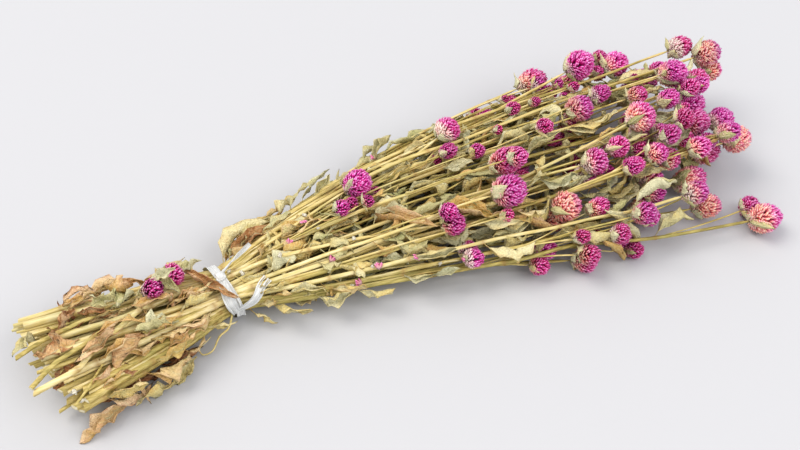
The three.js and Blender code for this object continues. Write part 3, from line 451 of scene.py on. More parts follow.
def head_reach(stem):
    """The ball of room that a head keeps: a long head's is a little wider than the head."""
    return stem["head_radius"] * (1 + LONG_HEAD_ROOM * (stem["stretch"] - 1))


def head_middles(stems, at):
    """The heads' middles: each on the line of its stem's last interval, moved by its lean."""
    rows = np.arange(len(stems))
    last = np.array([stem["last"] for stem in stems])
    x = np.array([stem["head_x"] for stem in stems])
    t = (x - station_x(last)) / STATION_STEP
    near, far = at[rows, last], at[rows, last + 1]
    across = near + t[:, None] * (far - near) + np.array([stem["lean"] for stem in stems])
    return np.column_stack([x, across])


def push_apart(apart_by, need, drawn_in=False):
    """Half the move that brings things across the bunch from too near to as far apart as they need. Those
    that are drawn in are moved nearer too, where they are farther apart than that."""
    apart = np.hypot(*apart_by.T)
    push = (need - apart) / 2 / np.maximum(apart, LEAST_APART)
    return apart_by * np.where((apart < need) | drawn_in, push, 0)[:, None]


def settle_stems(stems):
    """Settles the bunch: contacts push stems and heads apart across it, and every stem straightens."""
    count = len(stems)
    at = each(stems, "at")
    home = at.copy()
    first, last, parent, head_x, radii, butts, necks = (each(stems, key) for key in (
        "first", "last", "parent", "head_x", "head_radius", "butt_radius", "neck_radius"))
    reaches = np.array([head_reach(stem) for stem in stems])
    stations = station_x(np.arange(STATION_COUNT))
    thick = np.array([[radius_at(stem, x) for x in stations] for stem in stems])

    def thickness(i, x):
        return butts[i] + (necks[i] - butts[i]) * np.clip((x - BUTT_X) / (head_x[i] - BUTT_X), 0, 1)

    pairs, bounds, gaps = [], [], []
    head_pairs, twins = [], []
    stem_meetings, meeting_bounds = [], []
    spans = [[span(stem, k) for k in range(STATION_COUNT)] for stem in stems]
    for i, a in enumerate(stems):
        for j in range(i + 1, count):
            b = stems[j]
            for k in range(max(a["first"], b["first"]), min(a["last"], b["last"]) + 1):
                low = max(spans[i][k][0], spans[j][k][0])
                high = min(spans[i][k][1], spans[j][k][1])
                forks = (k == a["first"] and a["parent"] == j) or (k == b["first"] and b["parent"] == i)
                if low < high and not forks:
                    pairs.append((i, j, k))
                    bounds.append((low, high))
                    gaps.append(OWN_GAP if a["spray"] == b["spray"] else GAP)
            twin = not a["alone"] and not b["alone"] and (a["parent"] == j or b["parent"] == i)
            far = TWIN_SQUEEZE * (radii[i] + radii[j]) if twin else reaches[i] + reaches[j] + GAP
            if abs(head_x[i] - head_x[j]) < far:
                head_pairs.append((i, j, math.sqrt(far ** 2 - (head_x[i] - head_x[j]) ** 2)))
                twins.append(twin)
        low_k = math.floor((head_x[i] - reaches[i] - FIRST_STATION) / STATION_STEP)
        high_k = math.floor((head_x[i] + reaches[i] - FIRST_STATION) / STATION_STEP)
        for j, b in enumerate(stems):
            for k in range(max(low_k, b["first"]), min(high_k, b["last"]) + 1):
                if i != j and spans[j][k][0] < spans[j][k][1]:
                    stem_meetings.append((i, j, k))
                    meeting_bounds.append(spans[j][k])
    i, j, k = np.array(pairs).T
    low, high = np.array(bounds).T
    gaps = np.array(gaps)
    head_i, head_j, head_need = (np.array(values) for values in zip(*head_pairs))
    twins = np.array(twins)
    met_i, met_j, met_k = np.array(stem_meetings).T
    met_low, met_high = np.array(meeting_bounds).T

    rows = np.arange(count)
    k_grid = np.arange(STATION_COUNT)[None, :]
    free = (k_grid >= first[:, None]) & (k_grid <= last[:, None] + 1)
    free &= ~((k_grid == TIE_STATION) & (parent[:, None] < 0))
    inner = free & (k_grid > first[:, None]) & (k_grid <= last[:, None])
    ends = free & (k_grid == last[:, None] + 1)
    shoots = rows[parent >= 0]

    def shift(stem, station, by):
        flat = stem * STATION_COUNT + station
        for axis in (0, 1):
            added = np.bincount(flat, by[:, axis], count * STATION_COUNT)
            move[:, :, axis] += added.reshape(count, STATION_COUNT)

    def shift_between(stem, station, t, by):
        """Moves stems at the share t of the way from a station to the next."""
        shift(stem, station, by * (1 - t)[:, None])
        shift(stem, station + 1, by * t[:, None])

    def shift_head(stem, by):
        shift(stem, last[stem], NECK_SHARE * by)
        shift(stem, last[stem] + 1, by)

    for round_number in range(SETTLE_ROUNDS + FINAL_ROUNDS):
        final = round_number >= SETTLE_ROUNDS
        straighten = FINAL_STRAIGHTEN if final else STRAIGHTEN
        move = np.zeros_like(at)

        start = at[i, k] - at[j, k]
        along = at[i, k + 1] - at[j, k + 1] - start
        length = (along ** 2).sum(1)
        t = np.clip(-(start * along).sum(1) / np.maximum(length, 1e-9), low, high)
        t = np.where(length > 1e-9, t, low)
        x = station_x(k) + t * STATION_STEP
        need = (thickness(i, x) + thickness(j, x) + gaps) * SLOPE_ALLOWANCE
        by = push_apart(start + along * t[:, None], need)
        shift_between(i, k, t, by)
        shift_between(j, k, t, -by)

        middles = head_middles(stems, at)
        by = push_apart((middles[head_i] - middles[head_j])[:, 1:], head_need, twins)
        shift_head(head_i, by)
        shift_head(head_j, -by)

        along = at[met_j, met_k + 1] - at[met_j, met_k]
        off = middles[met_i][:, 1:] - at[met_j, met_k]
        off_x = middles[met_i][:, 0] - station_x(met_k)
        length = STATION_STEP ** 2 + (along ** 2).sum(1)
        t = np.clip((off_x * STATION_STEP + (off * along).sum(1)) / length, met_low, met_high)
        dx = off_x - t * STATION_STEP
        far = reaches[met_i] + thickness(met_j, station_x(met_k) + t * STATION_STEP) + GAP
        by = push_apart(off - t[:, None] * along, np.sqrt(np.maximum(0, far ** 2 - dx ** 2)))
        shift_head(met_i, by)
        shift_between(met_j, met_k, t, -by)

        middle = (np.roll(at, 1, 1) + np.roll(at, -1, 1)) / 2 - at
        beyond = 2 * np.roll(at, 1, 1) - np.roll(at, 2, 1) - at
        move += straighten * (inner[..., None] * middle + NECK_SHARE * ends[..., None] * beyond)
        if not final:
            move += HOMING * free[..., None] * (home - at)
        at += SETTLE_STEP * move * free[..., None]
        at[:, :, 1] = np.where(free, np.maximum(thick, at[:, :, 1]), at[:, :, 1])
        at[shoots, first[shoots]] = at[parent[shoots], first[shoots]]
        low_by = np.maximum(0, radii - FLAT_DEPTH - head_middles(stems, at)[:, 2])
        at[rows, last, 1] += NECK_SHARE * low_by
        at[rows, last + 1, 1] += low_by
    for stem, places, middle in zip(stems, at, head_middles(stems, at)):
        k = stem["last"]
        stem["at"] = places
        stem["head"] = Vector(middle)
        stem["axis"] = (stem["head"] - Vector((station_x(k), *places[k]))).normalized()


layout_draw = draws_from(LAYOUT_SEED)
stems = start_stems(layout_draw)
place_landmarks(stems)
add_shoots(stems, layout_draw)
draw_stems(stems)
pack_tie(stems)
settle_stems(stems)

STATIONS_AT = each(stems, "at")
FIRSTS, LASTS, BUTTS, NECKS = (
    each(stems, key)[:, None] for key in ("first", "last", "butt_radius", "neck_radius"))
HEADS_AT = each(stems, "head")
HEAD_REACHES = np.array([head_reach(stem) for stem in stems])[:, None]


def stems_at(x):
    """Where every stem is at each x of a list: its place across, its radius, and whether it is there."""
    k = np.clip(np.floor((x - FIRST_STATION) / STATION_STEP).astype(int), 0, STATION_COUNT - 2)
    t = ((x - station_x(k)) / STATION_STEP)[None, :, None]
    at = STATIONS_AT[:, k] + t * (STATIONS_AT[:, k + 1] - STATIONS_AT[:, k])
    share = np.clip((x - BUTT_X) / (HEADS_AT[:, :1] - BUTT_X), 0, 1)
    present = (k >= FIRSTS) & (k <= LASTS)
    return at, BUTTS + (NECKS - BUTTS) * share, present


def stem_distances(points):
    """How far points are from every stem's surface, measured across the bunch."""
    at, radius, present = stems_at(points[:, 0])
    away = np.hypot(*np.moveaxis(points[None, :, 1:] - at, 2, 0)) - radius
    return np.where(present & (points[:, 0] <= HEADS_AT[:, :1]), away, np.inf)


def head_distances(points):
    return np.linalg.norm(points[None] - HEADS_AT[:, None], axis=2) - HEAD_REACHES


# The free ends of the tape, as the solids have them. Each point: x, the angle round the bunch in
# degrees, and the lift off the stems.
TIE_X = -2.0
TIE_SLANT = 0.26
OUTLINE_STEPS = 12
OUTLINE_SPAN = 1.26
TWISTED_END = [(TIE_X, 80, 1.2), (5, 60, 2.4), (14, 48, 3.2), (25, 40, 3.6)]
FLAT_END = [(1.16, 184, 0.9), (12, 169, 1.8), (17, 159, 2), (22, 149, 1.8), (28, 137, 1.2)]


def reach_at(x, angle):
    """How far the stems reach at x, in a direction across the bunch, from the middle line of the tie."""
    at, radius, present = stems_at(np.array([float(x)]))
    far = at[..., 0] * math.cos(angle) + (at[..., 1] - TIE_HEIGHT) * math.sin(angle) + radius
    return float(max(0, far[present].max()))


def outline_at(x, angle):
    """The outline round all the stems at x, in a direction: how far it is, and which way it faces."""
    offs = [n * OUTLINE_SPAN / OUTLINE_STEPS for n in range(-OUTLINE_STEPS, OUTLINE_STEPS + 1)]
    return min((reach_at(x, angle + off) / math.cos(off), angle + off) for off in offs)


def tail_path(laid):
    """The points of a free end of the tape, and the ways that its upper face faces."""
    points, outwards = [], []
    for x, degrees, lift in laid:
        angle = math.radians(degrees)
        reach, facing = outline_at(x, angle)
        outward = np.array([0, math.cos(facing), math.sin(facing)])
        place = np.array([x, reach * math.cos(angle), TIE_HEIGHT + reach * math.sin(angle)])
        points.append(place + outward * (TAPE_CLEARANCE + TAPE_THICKNESS / 2 + lift))
        outwards.append(outward)
    return np.array(points), np.array(outwards)


tails = [tail_path(laid) for laid in (TWISTED_END, FLAT_END)]
tail_points = np.concatenate([np.concatenate([p[1:], (p[1:] + p[:-1]) / 2]) for p, _ in tails])

# Leaves: opposite pairs up every stem, each turned about its stem until it hangs clear of the rest. These
# are the leaves that the solids have too.
LEAF_SEED = 77
LEAF_SHAPE = {"length": (28.0, 48.0), "width": (8.0, 12.5), "curl": (-1.2, 0.9), "fold": (0.1, 0.8),
              "twist": (-1.1, 1.1)}
LEAF_BASE_FULLNESS = 0.75
LEAF_FULLNESS = 0.8
LEAF_TURN = 2.4
LEAFLESS_NECK = 34.0
LEAF_SHARE = 0.8
LEAF_TRIES = 24
LEAF_TILTS = (0.3, 0.55)
LEAF_REACH = 14.0
LEAF_SCALES = (1.0, 0.8, 0.6)
LOWEST_NODE = 10.0
LEAF_SHOWS = 0.78
NODE_SPACING = (50.0, 60.0)
LOW_NODE_SPACING = (25.0, 30.0)
STALK_LENGTH = 5.5
STALK_TILT = 0.95
LEAF_TESTS = 7
LEAF_FLOOR = 0.8
LEAF_CLEARANCE = 2.7
OWN_STEM_CLEARANCE = 0.6
LEAVES_APART = 4.6
TIE_ZONE = 8.0
TAIL_CLEARANCE = 7.0


def unit(vector):
    return vector / np.linalg.norm(vector)


def unit_rows(rows):
    return rows / np.linalg.norm(rows, axis=1)[:, None]


def turned(side, face, by):
    """Two directions square to each other, turned by angles."""
    return side * np.cos(by) + face * np.sin(by), face * np.cos(by) - side * np.sin(by)


def crossing(along):
    """The directions across a line: level, and square to that."""
    level = unit(np.cross((0, 0, 1), along))
    return level, np.cross(along, level)


def leaf_on(number, x, turn, tilt, shape):
    """A leaf that leaves a stem at x, turned about the stem by turn and away from it by tilt."""
    stem = stems[number]
    k = min(stem["last"], max(stem["first"], math.floor((x - FIRST_STATION) / STATION_STEP)))
    low, high = (np.array([station_x(k + n), *stem["at"][k + n]]) for n in (0, 1))
    along = unit(high - low)
    level, up = crossing(along)
    outward = level * math.cos(turn) + up * math.sin(turn)
    direction = along * math.cos(tilt) + outward * math.sin(tilt)
    normal = outward * math.cos(tilt) - along * math.sin(tilt)
    node = low + (high - low) * (x - station_x(k)) / STATION_STEP
    root = node + STALK_LENGTH * (along * math.cos(STALK_TILT) + outward * math.sin(STALK_TILT))
    return dict(shape, stem=number, node=node, root=root, along=direction, normal=normal,
                side=np.cross(normal, direction))


def leaf_line(leaf, s):
    """A leaf's midrib at shares s of its length, its side and face directions there and its half width."""
    turn = (leaf["curl"] * s)[:, None]
    forward, upward = np.sin(turn) / leaf["curl"], (1 - np.cos(turn)) / leaf["curl"]
    middle = leaf["root"] + leaf["length"] * (leaf["along"] * forward + leaf["normal"] * upward)
    normal = leaf["normal"] * np.cos(turn) - leaf["along"] * np.sin(turn)
    side, face = turned(leaf["side"], normal, (leaf["twist"] * s)[:, None])
    swell = np.maximum(0, np.sin(math.pi * s ** LEAF_BASE_FULLNESS))
    return middle, side, face, 0.5 * leaf["width"] * swell ** LEAF_FULLNESS


def leaf_points(leaf):
    """Points all over a leaf, from the end of its stalk, for keeping it clear."""
    middle, side, face, half = leaf_line(leaf, np.arange(1, LEAF_TESTS + 1) / LEAF_TESTS)
    lift = face * (leaf["fold"] * half)[:, None]
    across = side * half[:, None]
    return np.concatenate([leaf["root"][None], middle, middle + across + lift, middle - across + lift])


def tie_x(y):
    return TIE_X - TIE_SLANT * y


def is_apart(points, others, distance):
    return np.linalg.norm(points[:, None] - others[None], axis=2).min() >= distance


def leaf_is_clear(leaf, placed):
    """Whether a leaf is clear of the floor, the tie, the stems, the heads and the other leaves."""
    points = leaf["points"]
    disc = np.hypot(*to_disc(points[:, 1], points[:, 2], points[:, 0]))
    if disc.max() < LEAF_SHOWS or points[:, 2].min() < LEAF_FLOOR:
        return False
    if ((disc - 1) * envelope(points[:, 0])[2]).max() > LEAF_REACH:
        return False
    near_tie = np.abs(points[:, 0] - tie_x(points[:, 1])) < TIE_ZONE
    if (near_tie & (np.hypot(points[:, 1], points[:, 2] - TIE_HEIGHT) < 2 * TIE_HALF_WIDTH)).any():
        return False
    if not is_apart(points, tail_points, TAIL_CLEARANCE) or head_distances(points).min() < LEAF_CLEARANCE:
        return False
    away = stem_distances(points)
    away[leaf["stem"]] += LEAF_CLEARANCE - OWN_STEM_CLEARANCE
    if away.min() < LEAF_CLEARANCE:
        return False
    for other in placed:
        within = other["length"] + leaf["length"] + LEAVES_APART
        if np.linalg.norm(other["root"] - leaf["root"]) < within:
            if not is_apart(points, other["points"], LEAVES_APART):
                return False
    return True


def place_leaves():
    """Places the leaves, and notes each stem's nodes, where its leaves leave it."""
    draw = draws_from(LEAF_SEED)
    placed = []
    for number, stem in enumerate(stems):
        stem["nodes"] = []
        if stem["parent"] >= 0:
            continue
        x = stem["cut_x"] + LOWEST_NODE + LOW_NODE_SPACING[0] * next(draw)
        phase = 2 * math.pi * next(draw)
        while x < stem["head_x"] - LEAFLESS_NECK:
            stem["nodes"].append((x, phase))
            for opposite in (0, math.pi):
                shape = {name: between(limits, next(draw)) for name, limits in LEAF_SHAPE.items()}
                if next(draw) >= LEAF_SHARE:
                    continue
                for tries in range(LEAF_TRIES):
                    turn = phase + opposite + tries * LEAF_TURN
                    tilt = LEAF_TILTS[tries % len(LEAF_TILTS)]
                    scale = LEAF_SCALES[tries * len(LEAF_SCALES) // LEAF_TRIES]
                    leaf = leaf_on(number, x, turn, tilt, shape)
                    leaf["length"] *= scale
                    leaf["width"] *= scale
                    leaf["points"] = leaf_points(leaf)
                    if leaf_is_clear(leaf, placed):
                        placed.append(leaf)
                        break
            phase += math.pi / 2
            x += between(LOW_NODE_SPACING if x < 0 else NODE_SPACING, next(draw))
    return placed


leaves = place_leaves()

# The pair of small leaves under each head is turned until it is clear too.
COLLAR_REACH = 0.74
COLLAR_WAIST = 2.2
COLLAR_GAP = 1.3
COLLAR_THICKNESS = 1.6
COLLAR_SPACE = 1.0
COLLAR_TRIES = 6


def collar_points(stem, turn):
    level, up = crossing(np.array(stem["axis"]))
    half = stem["head_radius"] * stem["stretch"]
    reach = COLLAR_REACH * stem["head_radius"]
    below = half * math.sqrt(1 - COLLAR_REACH ** 2)
    rim, root = [], []
    for n, (out, down) in enumerate([(reach, below), (COLLAR_WAIST, half)] * 2):
        angle = turn + math.pi * n / 2
        across = level * math.cos(angle) + up * math.sin(angle)
        middle = np.array(stem["head"])
        axis = np.array(stem["axis"])
        rim.append(middle + across * out - axis * (down + COLLAR_GAP))
        root.append(middle + across * stem["neck_radius"] - axis * (half + COLLAR_GAP + COLLAR_THICKNESS))
    return np.array([*rim, (rim[0] + root[0]) / 2, (rim[2] + root[2]) / 2])


def collar_is_clear(number, points):
    others = np.arange(len(stems)) != number
    if points[:, 2].min() < COLLAR_SPACE or head_distances(points)[others].min() < COLLAR_SPACE:
        return False
    if stem_distances(points)[others].min() < COLLAR_SPACE:
        return False
    return all(is_apart(points, leaf["points"], LEAVES_APART) for leaf in leaves)


for number, stem in enumerate(stems):
    for tries in range(COLLAR_TRIES):
        stem["turn"] = number + math.pi * tries / COLLAR_TRIES
        if collar_is_clear(number, collar_points(stem, stem["turn"])):
            break

# Pieces are modelled from here on, in millimetres, as sheets and tubes rolled up from a grid of faces.
WELD = 1e-3
FLOOR_LIFT = 0.15


def add_sheet(grown, points, closed=False, **values):
    """Adds a sheet of faces through rows of points. A closed one is a tube, with its rows as rings, and
    a row whose points are all in one place closes its end. Values are written for each point."""
    rows, columns = points.shape[:2]
    layers = {name: grown.verts.layers.float.get(name) or grown.verts.layers.float.new(name)
              for name in values}
    around = columns + 1 if closed else columns
    made = bmesh.ops.create_grid(grown, x_segments=around - 1, y_segments=rows - 1, size=0.5)["verts"]
    values = {name: np.broadcast_to(value, (rows, columns)) for name, value in values.items()}
    for n, vert in enumerate(made):
        row, column = n // around, n % around % columns
        vert.co = points[row, column]
        for name, layer in layers.items():
            vert[layer] = values[name][row, column]
    bmesh.ops.remove_doubles(grown, verts=made, dist=WELD)


def thicken(piece, thickness):
    """Gives a sheet its thickness, in millimetres, half of it to each side."""
    thick = piece.modifiers.new("thickness", "SOLIDIFY")
    thick.thickness = thickness * MM
    thick.offset = 0
    return thick


def make_piece(grown, name, materials):
    """Makes an object of what has been modelled, smooth and in metres, that rides on the bunch."""
    for vert in grown.verts:
        vert.co.z = max(vert.co.z, FLOOR_LIFT)
    bmesh.ops.scale(grown, vec=(MM, MM, MM), verts=grown.verts)
    bmesh.ops.recalc_face_normals(grown, faces=grown.faces)
    for face in grown.faces:
        face.smooth = True
    made = bpy.data.meshes.new(name)
    grown.to_mesh(made)
    grown.free()
    for material in materials:
        made.materials.append(material)
    piece = bpy.data.objects.new(name, made)
    bpy.context.scene.collection.objects.link(piece)
    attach(piece, "root")
    return piece


# The stems: cut herb stems, dried to straw, four-angled and swollen at the nodes. Each is one tube from
# its cut end, which shows pale pith, to the head that it carries.
STEM_SIDES = 12
THIN_STEM_SIDES = 6
STEM_SIZE = 0.82
STEM_STEP = 9.5
STEM_RIBS = 0.15
STEM_WOBBLE = 0.5
NODE_SWELL = 0.24
NODE_HALF_LENGTH = 1.9
CUT_SLOPE = 0.7
PITH_SHARE = 0.5
TIP_INSIDE_HEAD = 2.5
NODE_RINGS = (-4, -2, 0, 2, 4)
LEAST_RING_GAP = 0.6
ANY_TURN = 6.3
STREAK_DEPTH = 0.85
PATCH_DEPTH = 0.4

# Dried herb stem: a fibrous skin with a dull sheen. Fine fibres run along it, with greener patches, brown
# nodes and pale pith where it is cut.
dried_stem, surface = new_material("dried_stem")
coordinates = add_node(dried_stem, "ShaderNodeTexCoord")
stretched = add_node(dried_stem, "ShaderNodeMapping", {"Vector": coordinates.outputs["Object"]},
                     Scale=(40, 700, 700))
fibres = add_node(dried_stem, "ShaderNodeTexNoise", {"Vector": stretched.outputs["Vector"]},
                  Scale=1.0, Detail=5.0)
patches = add_node(dried_stem, "ShaderNodeTexNoise", {"Vector": coordinates.outputs["Object"]},
                   Scale=90.0, Detail=3.0)
tint = add_node(dried_stem, "ShaderNodeAttribute", attribute_name="tint")
streaked = add_node(dried_stem, "ShaderNodeMath", {
    0: fibres.outputs["Fac"], 1: STREAK_DEPTH, 2: tint.outputs["Fac"]}, operation="MULTIPLY_ADD")
varied = add_node(dried_stem, "ShaderNodeMath", {
    0: patches.outputs["Fac"], 1: PATCH_DEPTH, 2: streaked.outputs["Value"]}, operation="MULTIPLY_ADD")
straw = add_node(dried_stem, "ShaderNodeValToRGB", {"Fac": varied.outputs["Value"]}, stops=[
    (0.42, "8c7d40"), (0.58, "b5a25e"), (0.74, "cfba79"), (0.88, "dac78e"), (1.0, "e4d5a8")])
green_parts = add_node(dried_stem, "ShaderNodeTexNoise", {"Vector": coordinates.outputs["Object"]},
                       Scale=26.0, Detail=2.0)
green_share = add_node(dried_stem, "ShaderNodeValToRGB", {"Fac": green_parts.outputs["Fac"]}, stops=[
    (0.45, "000000"), (0.66, "b0b0b0")])
greened = add_node(dried_stem, "ShaderNodeMixRGB", {
    "Fac": green_share.outputs["Color"], "Color1": straw.outputs["Color"]}, Color2=linear("a8a464"))
node_mark = add_node(dried_stem, "ShaderNodeAttribute", attribute_name="node")
browned = add_node(dried_stem, "ShaderNodeMixRGB", {
    "Fac": node_mark.outputs["Fac"], "Color1": greened.outputs["Color"]}, Color2=linear("98723f"))
pith = add_node(dried_stem, "ShaderNodeAttribute", attribute_name="pith")
pale = add_node(dried_stem, "ShaderNodeMixRGB", {
    "Fac": pith.outputs["Fac"], "Color1": browned.outputs["Color"]}, Color2=linear("efe6c8"))
bump = add_node(dried_stem, "ShaderNodeBump", {"Height": fibres.outputs["Fac"]},
                Strength=0.8, Distance=0.0006)
join(surface, {"Base Color": pale.outputs["Color"], "Roughness": 0.6, "Normal": bump.outputs["Normal"]})


def smooth_line(points, steps):
    """A smooth line through points (a Catmull-Rom spline), with that many steps from each to the next."""
    ends = np.concatenate([2 * points[:1] - points[1:2], points, 2 * points[-1:] - points[-2:-1]])
    line = []
    for n, count in enumerate(steps):
        t = (np.arange(count) / count)[:, None]
        a, b, c, d = ends[n:n + 4]
        line.append(0.5 * (2 * b + (c - a) * t + (2 * a - 5 * b + 4 * c - d) * t ** 2
                           + (3 * b - a - 3 * c + d) * t ** 3))
    return np.concatenate([*line, points[-1:]])


def frames_along(line):
    """The directions along and across a line at each of its points: along, level, and square to both."""
    along = unit_rows(np.gradient(line, axis=0))
    level = unit_rows(np.cross((0, 0, 1), along))
    return along, level, np.cross(along, level)


def running_length(line):
    return np.concatenate([[0], np.cumsum(np.linalg.norm(np.diff(line, axis=0), axis=1))])


def add_stem(grown, bends, radii, draw, nodes, is_cut, sides, tint_shift=0.0):
    """One stem through its bends: a tube with four angles, swellings at its nodes and a flat cut end."""
    lengths = np.linalg.norm(np.diff(bends, axis=0), axis=1)
    line = smooth_line(bends, np.maximum(1, np.round(lengths / STEM_STEP)).astype(int))
    run = running_length(line)
    node_runs = np.interp(nodes, line[:, 0], run)
    runs = np.sort(np.concatenate([run, *[node_runs + off for off in NODE_RINGS]]))
    runs = runs[(runs >= 0) & (runs <= run[-1])]
    runs = runs[np.concatenate([[True], np.diff(runs) > LEAST_RING_GAP])]
    line = np.column_stack([np.interp(runs, run, line[:, axis_number]) for axis_number in range(3)])
    along, level, up = frames_along(line)
    calm = np.minimum(1, np.minimum(runs, runs[-1] - runs) / 25) * STEM_WOBBLE / 2
    for across in (level, up):
        for _ in range(2):
            wave = np.sin(runs * between((0.03, 0.11), next(draw)) + ANY_TURN * next(draw))
            line = line + across * (calm * wave)[:, None]
    mark = np.zeros(len(line))
    for node_run in node_runs:
        mark = np.maximum(mark, np.exp(-((runs - node_run) / NODE_HALF_LENGTH) ** 2))
    radius = np.interp(runs / runs[-1], np.linspace(0, 1, len(radii)), radii) * (1 + NODE_SWELL * mark)
    corner = 2 * math.pi * np.arange(sides) / sides
    angle = corner + ANY_TURN * next(draw) + runs[:, None] * 0.003
    reach = radius[:, None] * (1 + STEM_RIBS * np.cos(4 * corner))
    rings = (line[:, None] + level[:, None] * (reach * np.cos(angle))[..., None]
             + up[:, None] * (reach * np.sin(angle))[..., None])
    share = np.clip((line[:, 0] - BUTT_X) / 520, 0, 1)
    tints = (between((-0.02, 0.38), next(draw)) - 0.2 * share + tint_shift
             + 0.2 * np.clip((runs - runs[-1] + 14) / 14, 0, 1))
    piths = np.zeros(len(line))
    if is_cut:
        slope = CUT_SLOPE * (2 * next(draw) - 1)
        rings[0] += along[0] * (slope * reach[0] * np.cos(angle[0]))[:, None]
        middle = rings[0].mean(0)
        cut = [middle + (rings[0] - middle) * size + along[0] * depth
               for size, depth in ((0, 0.35), (PITH_SHARE, 0.3), (0.86, 0), (1, 0.12))]
        rings = np.concatenate([cut, rings[1:]])
        tints = np.concatenate([[tints[0]] * 3, tints])
        mark = np.concatenate([[0, 0, 0.15], mark])
        piths = np.concatenate([[1, 1, 0.5, 0], piths[1:]])
    else:
        rings = np.concatenate([np.broadcast_to(line[0], (1, sides, 3)), rings[1:]])
    rings = np.concatenate([rings[:-1], np.broadcast_to(line[-1], (1, sides, 3))])
    add_sheet(grown, rings, closed=True, tint=tints[:, None], node=0.6 * mark[:, None],
              pith=piths[:, None])


def stem_bends(stem):
    """The points that a stem bends through, from its cut end or its fork to just inside its head."""
    half = stem["head_radius"] * stem["stretch"]
    bends = np.array([(station_x(k), *stem["at"][k]) for k in range(stem["first"], stem["last"] + 1)])
    if stem["parent"] < 0:
        bends[0] += (bends[1] - bends[0]) * (stem["cut_x"] - bends[0, 0]) / STATION_STEP
    tip = np.array(stem["head"]) - np.array(stem["axis"]) * (half - TIP_INSIDE_HEAD)
    return np.concatenate([bends, [tip]])


# Thinner stems lie in the grooves between two thick ones. Some carry a young head, the rest are broken
# off inside the bunch. Young heads: x, y, z and the most that the radius can be.
THIN_STEMS_SEED = 5
BROKEN_STEMS = 22
THIN_RADIUS = (0.9, 1.5)
THIN_TIP_RADIUS = 0.55
BROKEN_END_X = (60.0, 300.0)
THIN_NEIGHBOURS = 11.0
YOUNG_HEAD_ROOM = 0.3
YOUNG_HEAD_LEAST = 3.2
YOUNG_HEADS = [
    (309, 76, 42, 7.0), (259, 61, 42, 7.0), (263, 75, 36, 6.8), (340, 47, 52, 7.4), (361, 49, 50, 7.4),
    (388, 53, 46, 7.2), (343, 21, 60, 7.4), (319, 36, 58, 7.2), (362, -15, 60, 7.4), (340, -27, 62, 7.4),
    (156, -35, 12, 5.0), (60, -16, 36, 4.2), (221, -60, 12, 5.0), (236, -64, 10, 5.4),
    (268, -58, 14, 4.6), (293, -25, 40, 5.6), (247, 53, 38, 5.6), (172, 45, 44, 5.6), (187, 34, 48, 6.4),
    (93, 12, 48, 7.0), (112, 9, 50, 7.2), (314, -50, 30, 6.6), (285, -5, 58, 6.4), (350, -60, 26, 6.4),
    (300, 56, 46, 7.2), (372, -2, 56, 7.0), (262, 22, 56, 6.6), (232, 40, 48, 6.6), (205, 22, 52, 6.0),
    (303, -17, 54, 8.0), (326, -34, 54, 8.2), (306, -35, 50, 7.2), (359, -41, 54, 8.2), (389, -36, 54, 8.2),
    (318, 79, 34, 8.0), (358, 4, 30, 8.2), (365, 10, 58, 8.2), (270, -49, 34, 7.4), (355, 13, 10, 8.2),
    (256, -60, 18, 6.4), (223, -10, 10, 7.4), (364, -19, 42, 7.4), (187, 52, 26, 6.2), (305, -66, 26, 7.8),
    (424, 49, 22, 8.2), (369, 56, 42, 7.2), (305, 83, 26, 7.8), (340, -34, 42, 8.2), (274, -75, 30, 7.4),
    (379, -29, 42, 8.2), (350, 83, 34, 8.0), (181, 66, 22, 5.6), (270, 82, 22, 8.2), (110, 33, 26, 5.6),
    (400, 32, 34, 8.2), (238, 6, 26, 6.0), (322, -20, 46, 8.0), (385, 11, 62, 8.0), (293, -73, 42, 8.2),
    (344, -13, 50, 7.6), (179, 39, 38, 5.6), (201, -36, 42, 5.8), (253, 55, 50, 5.6), (304, -8, 42, 6.0),
    (394, -28, 42, 5.8), (340, 71, 46, 5.8), (124, 25, 38, 4.4), (272, 55, 50, 4.8), (307, 55, 54, 5.0),
    (300, 67, 50, 4.6), (102, 18, 42, 5.8), (254, 71, 46, 4.6), (245, -69, 34, 6.4),
]


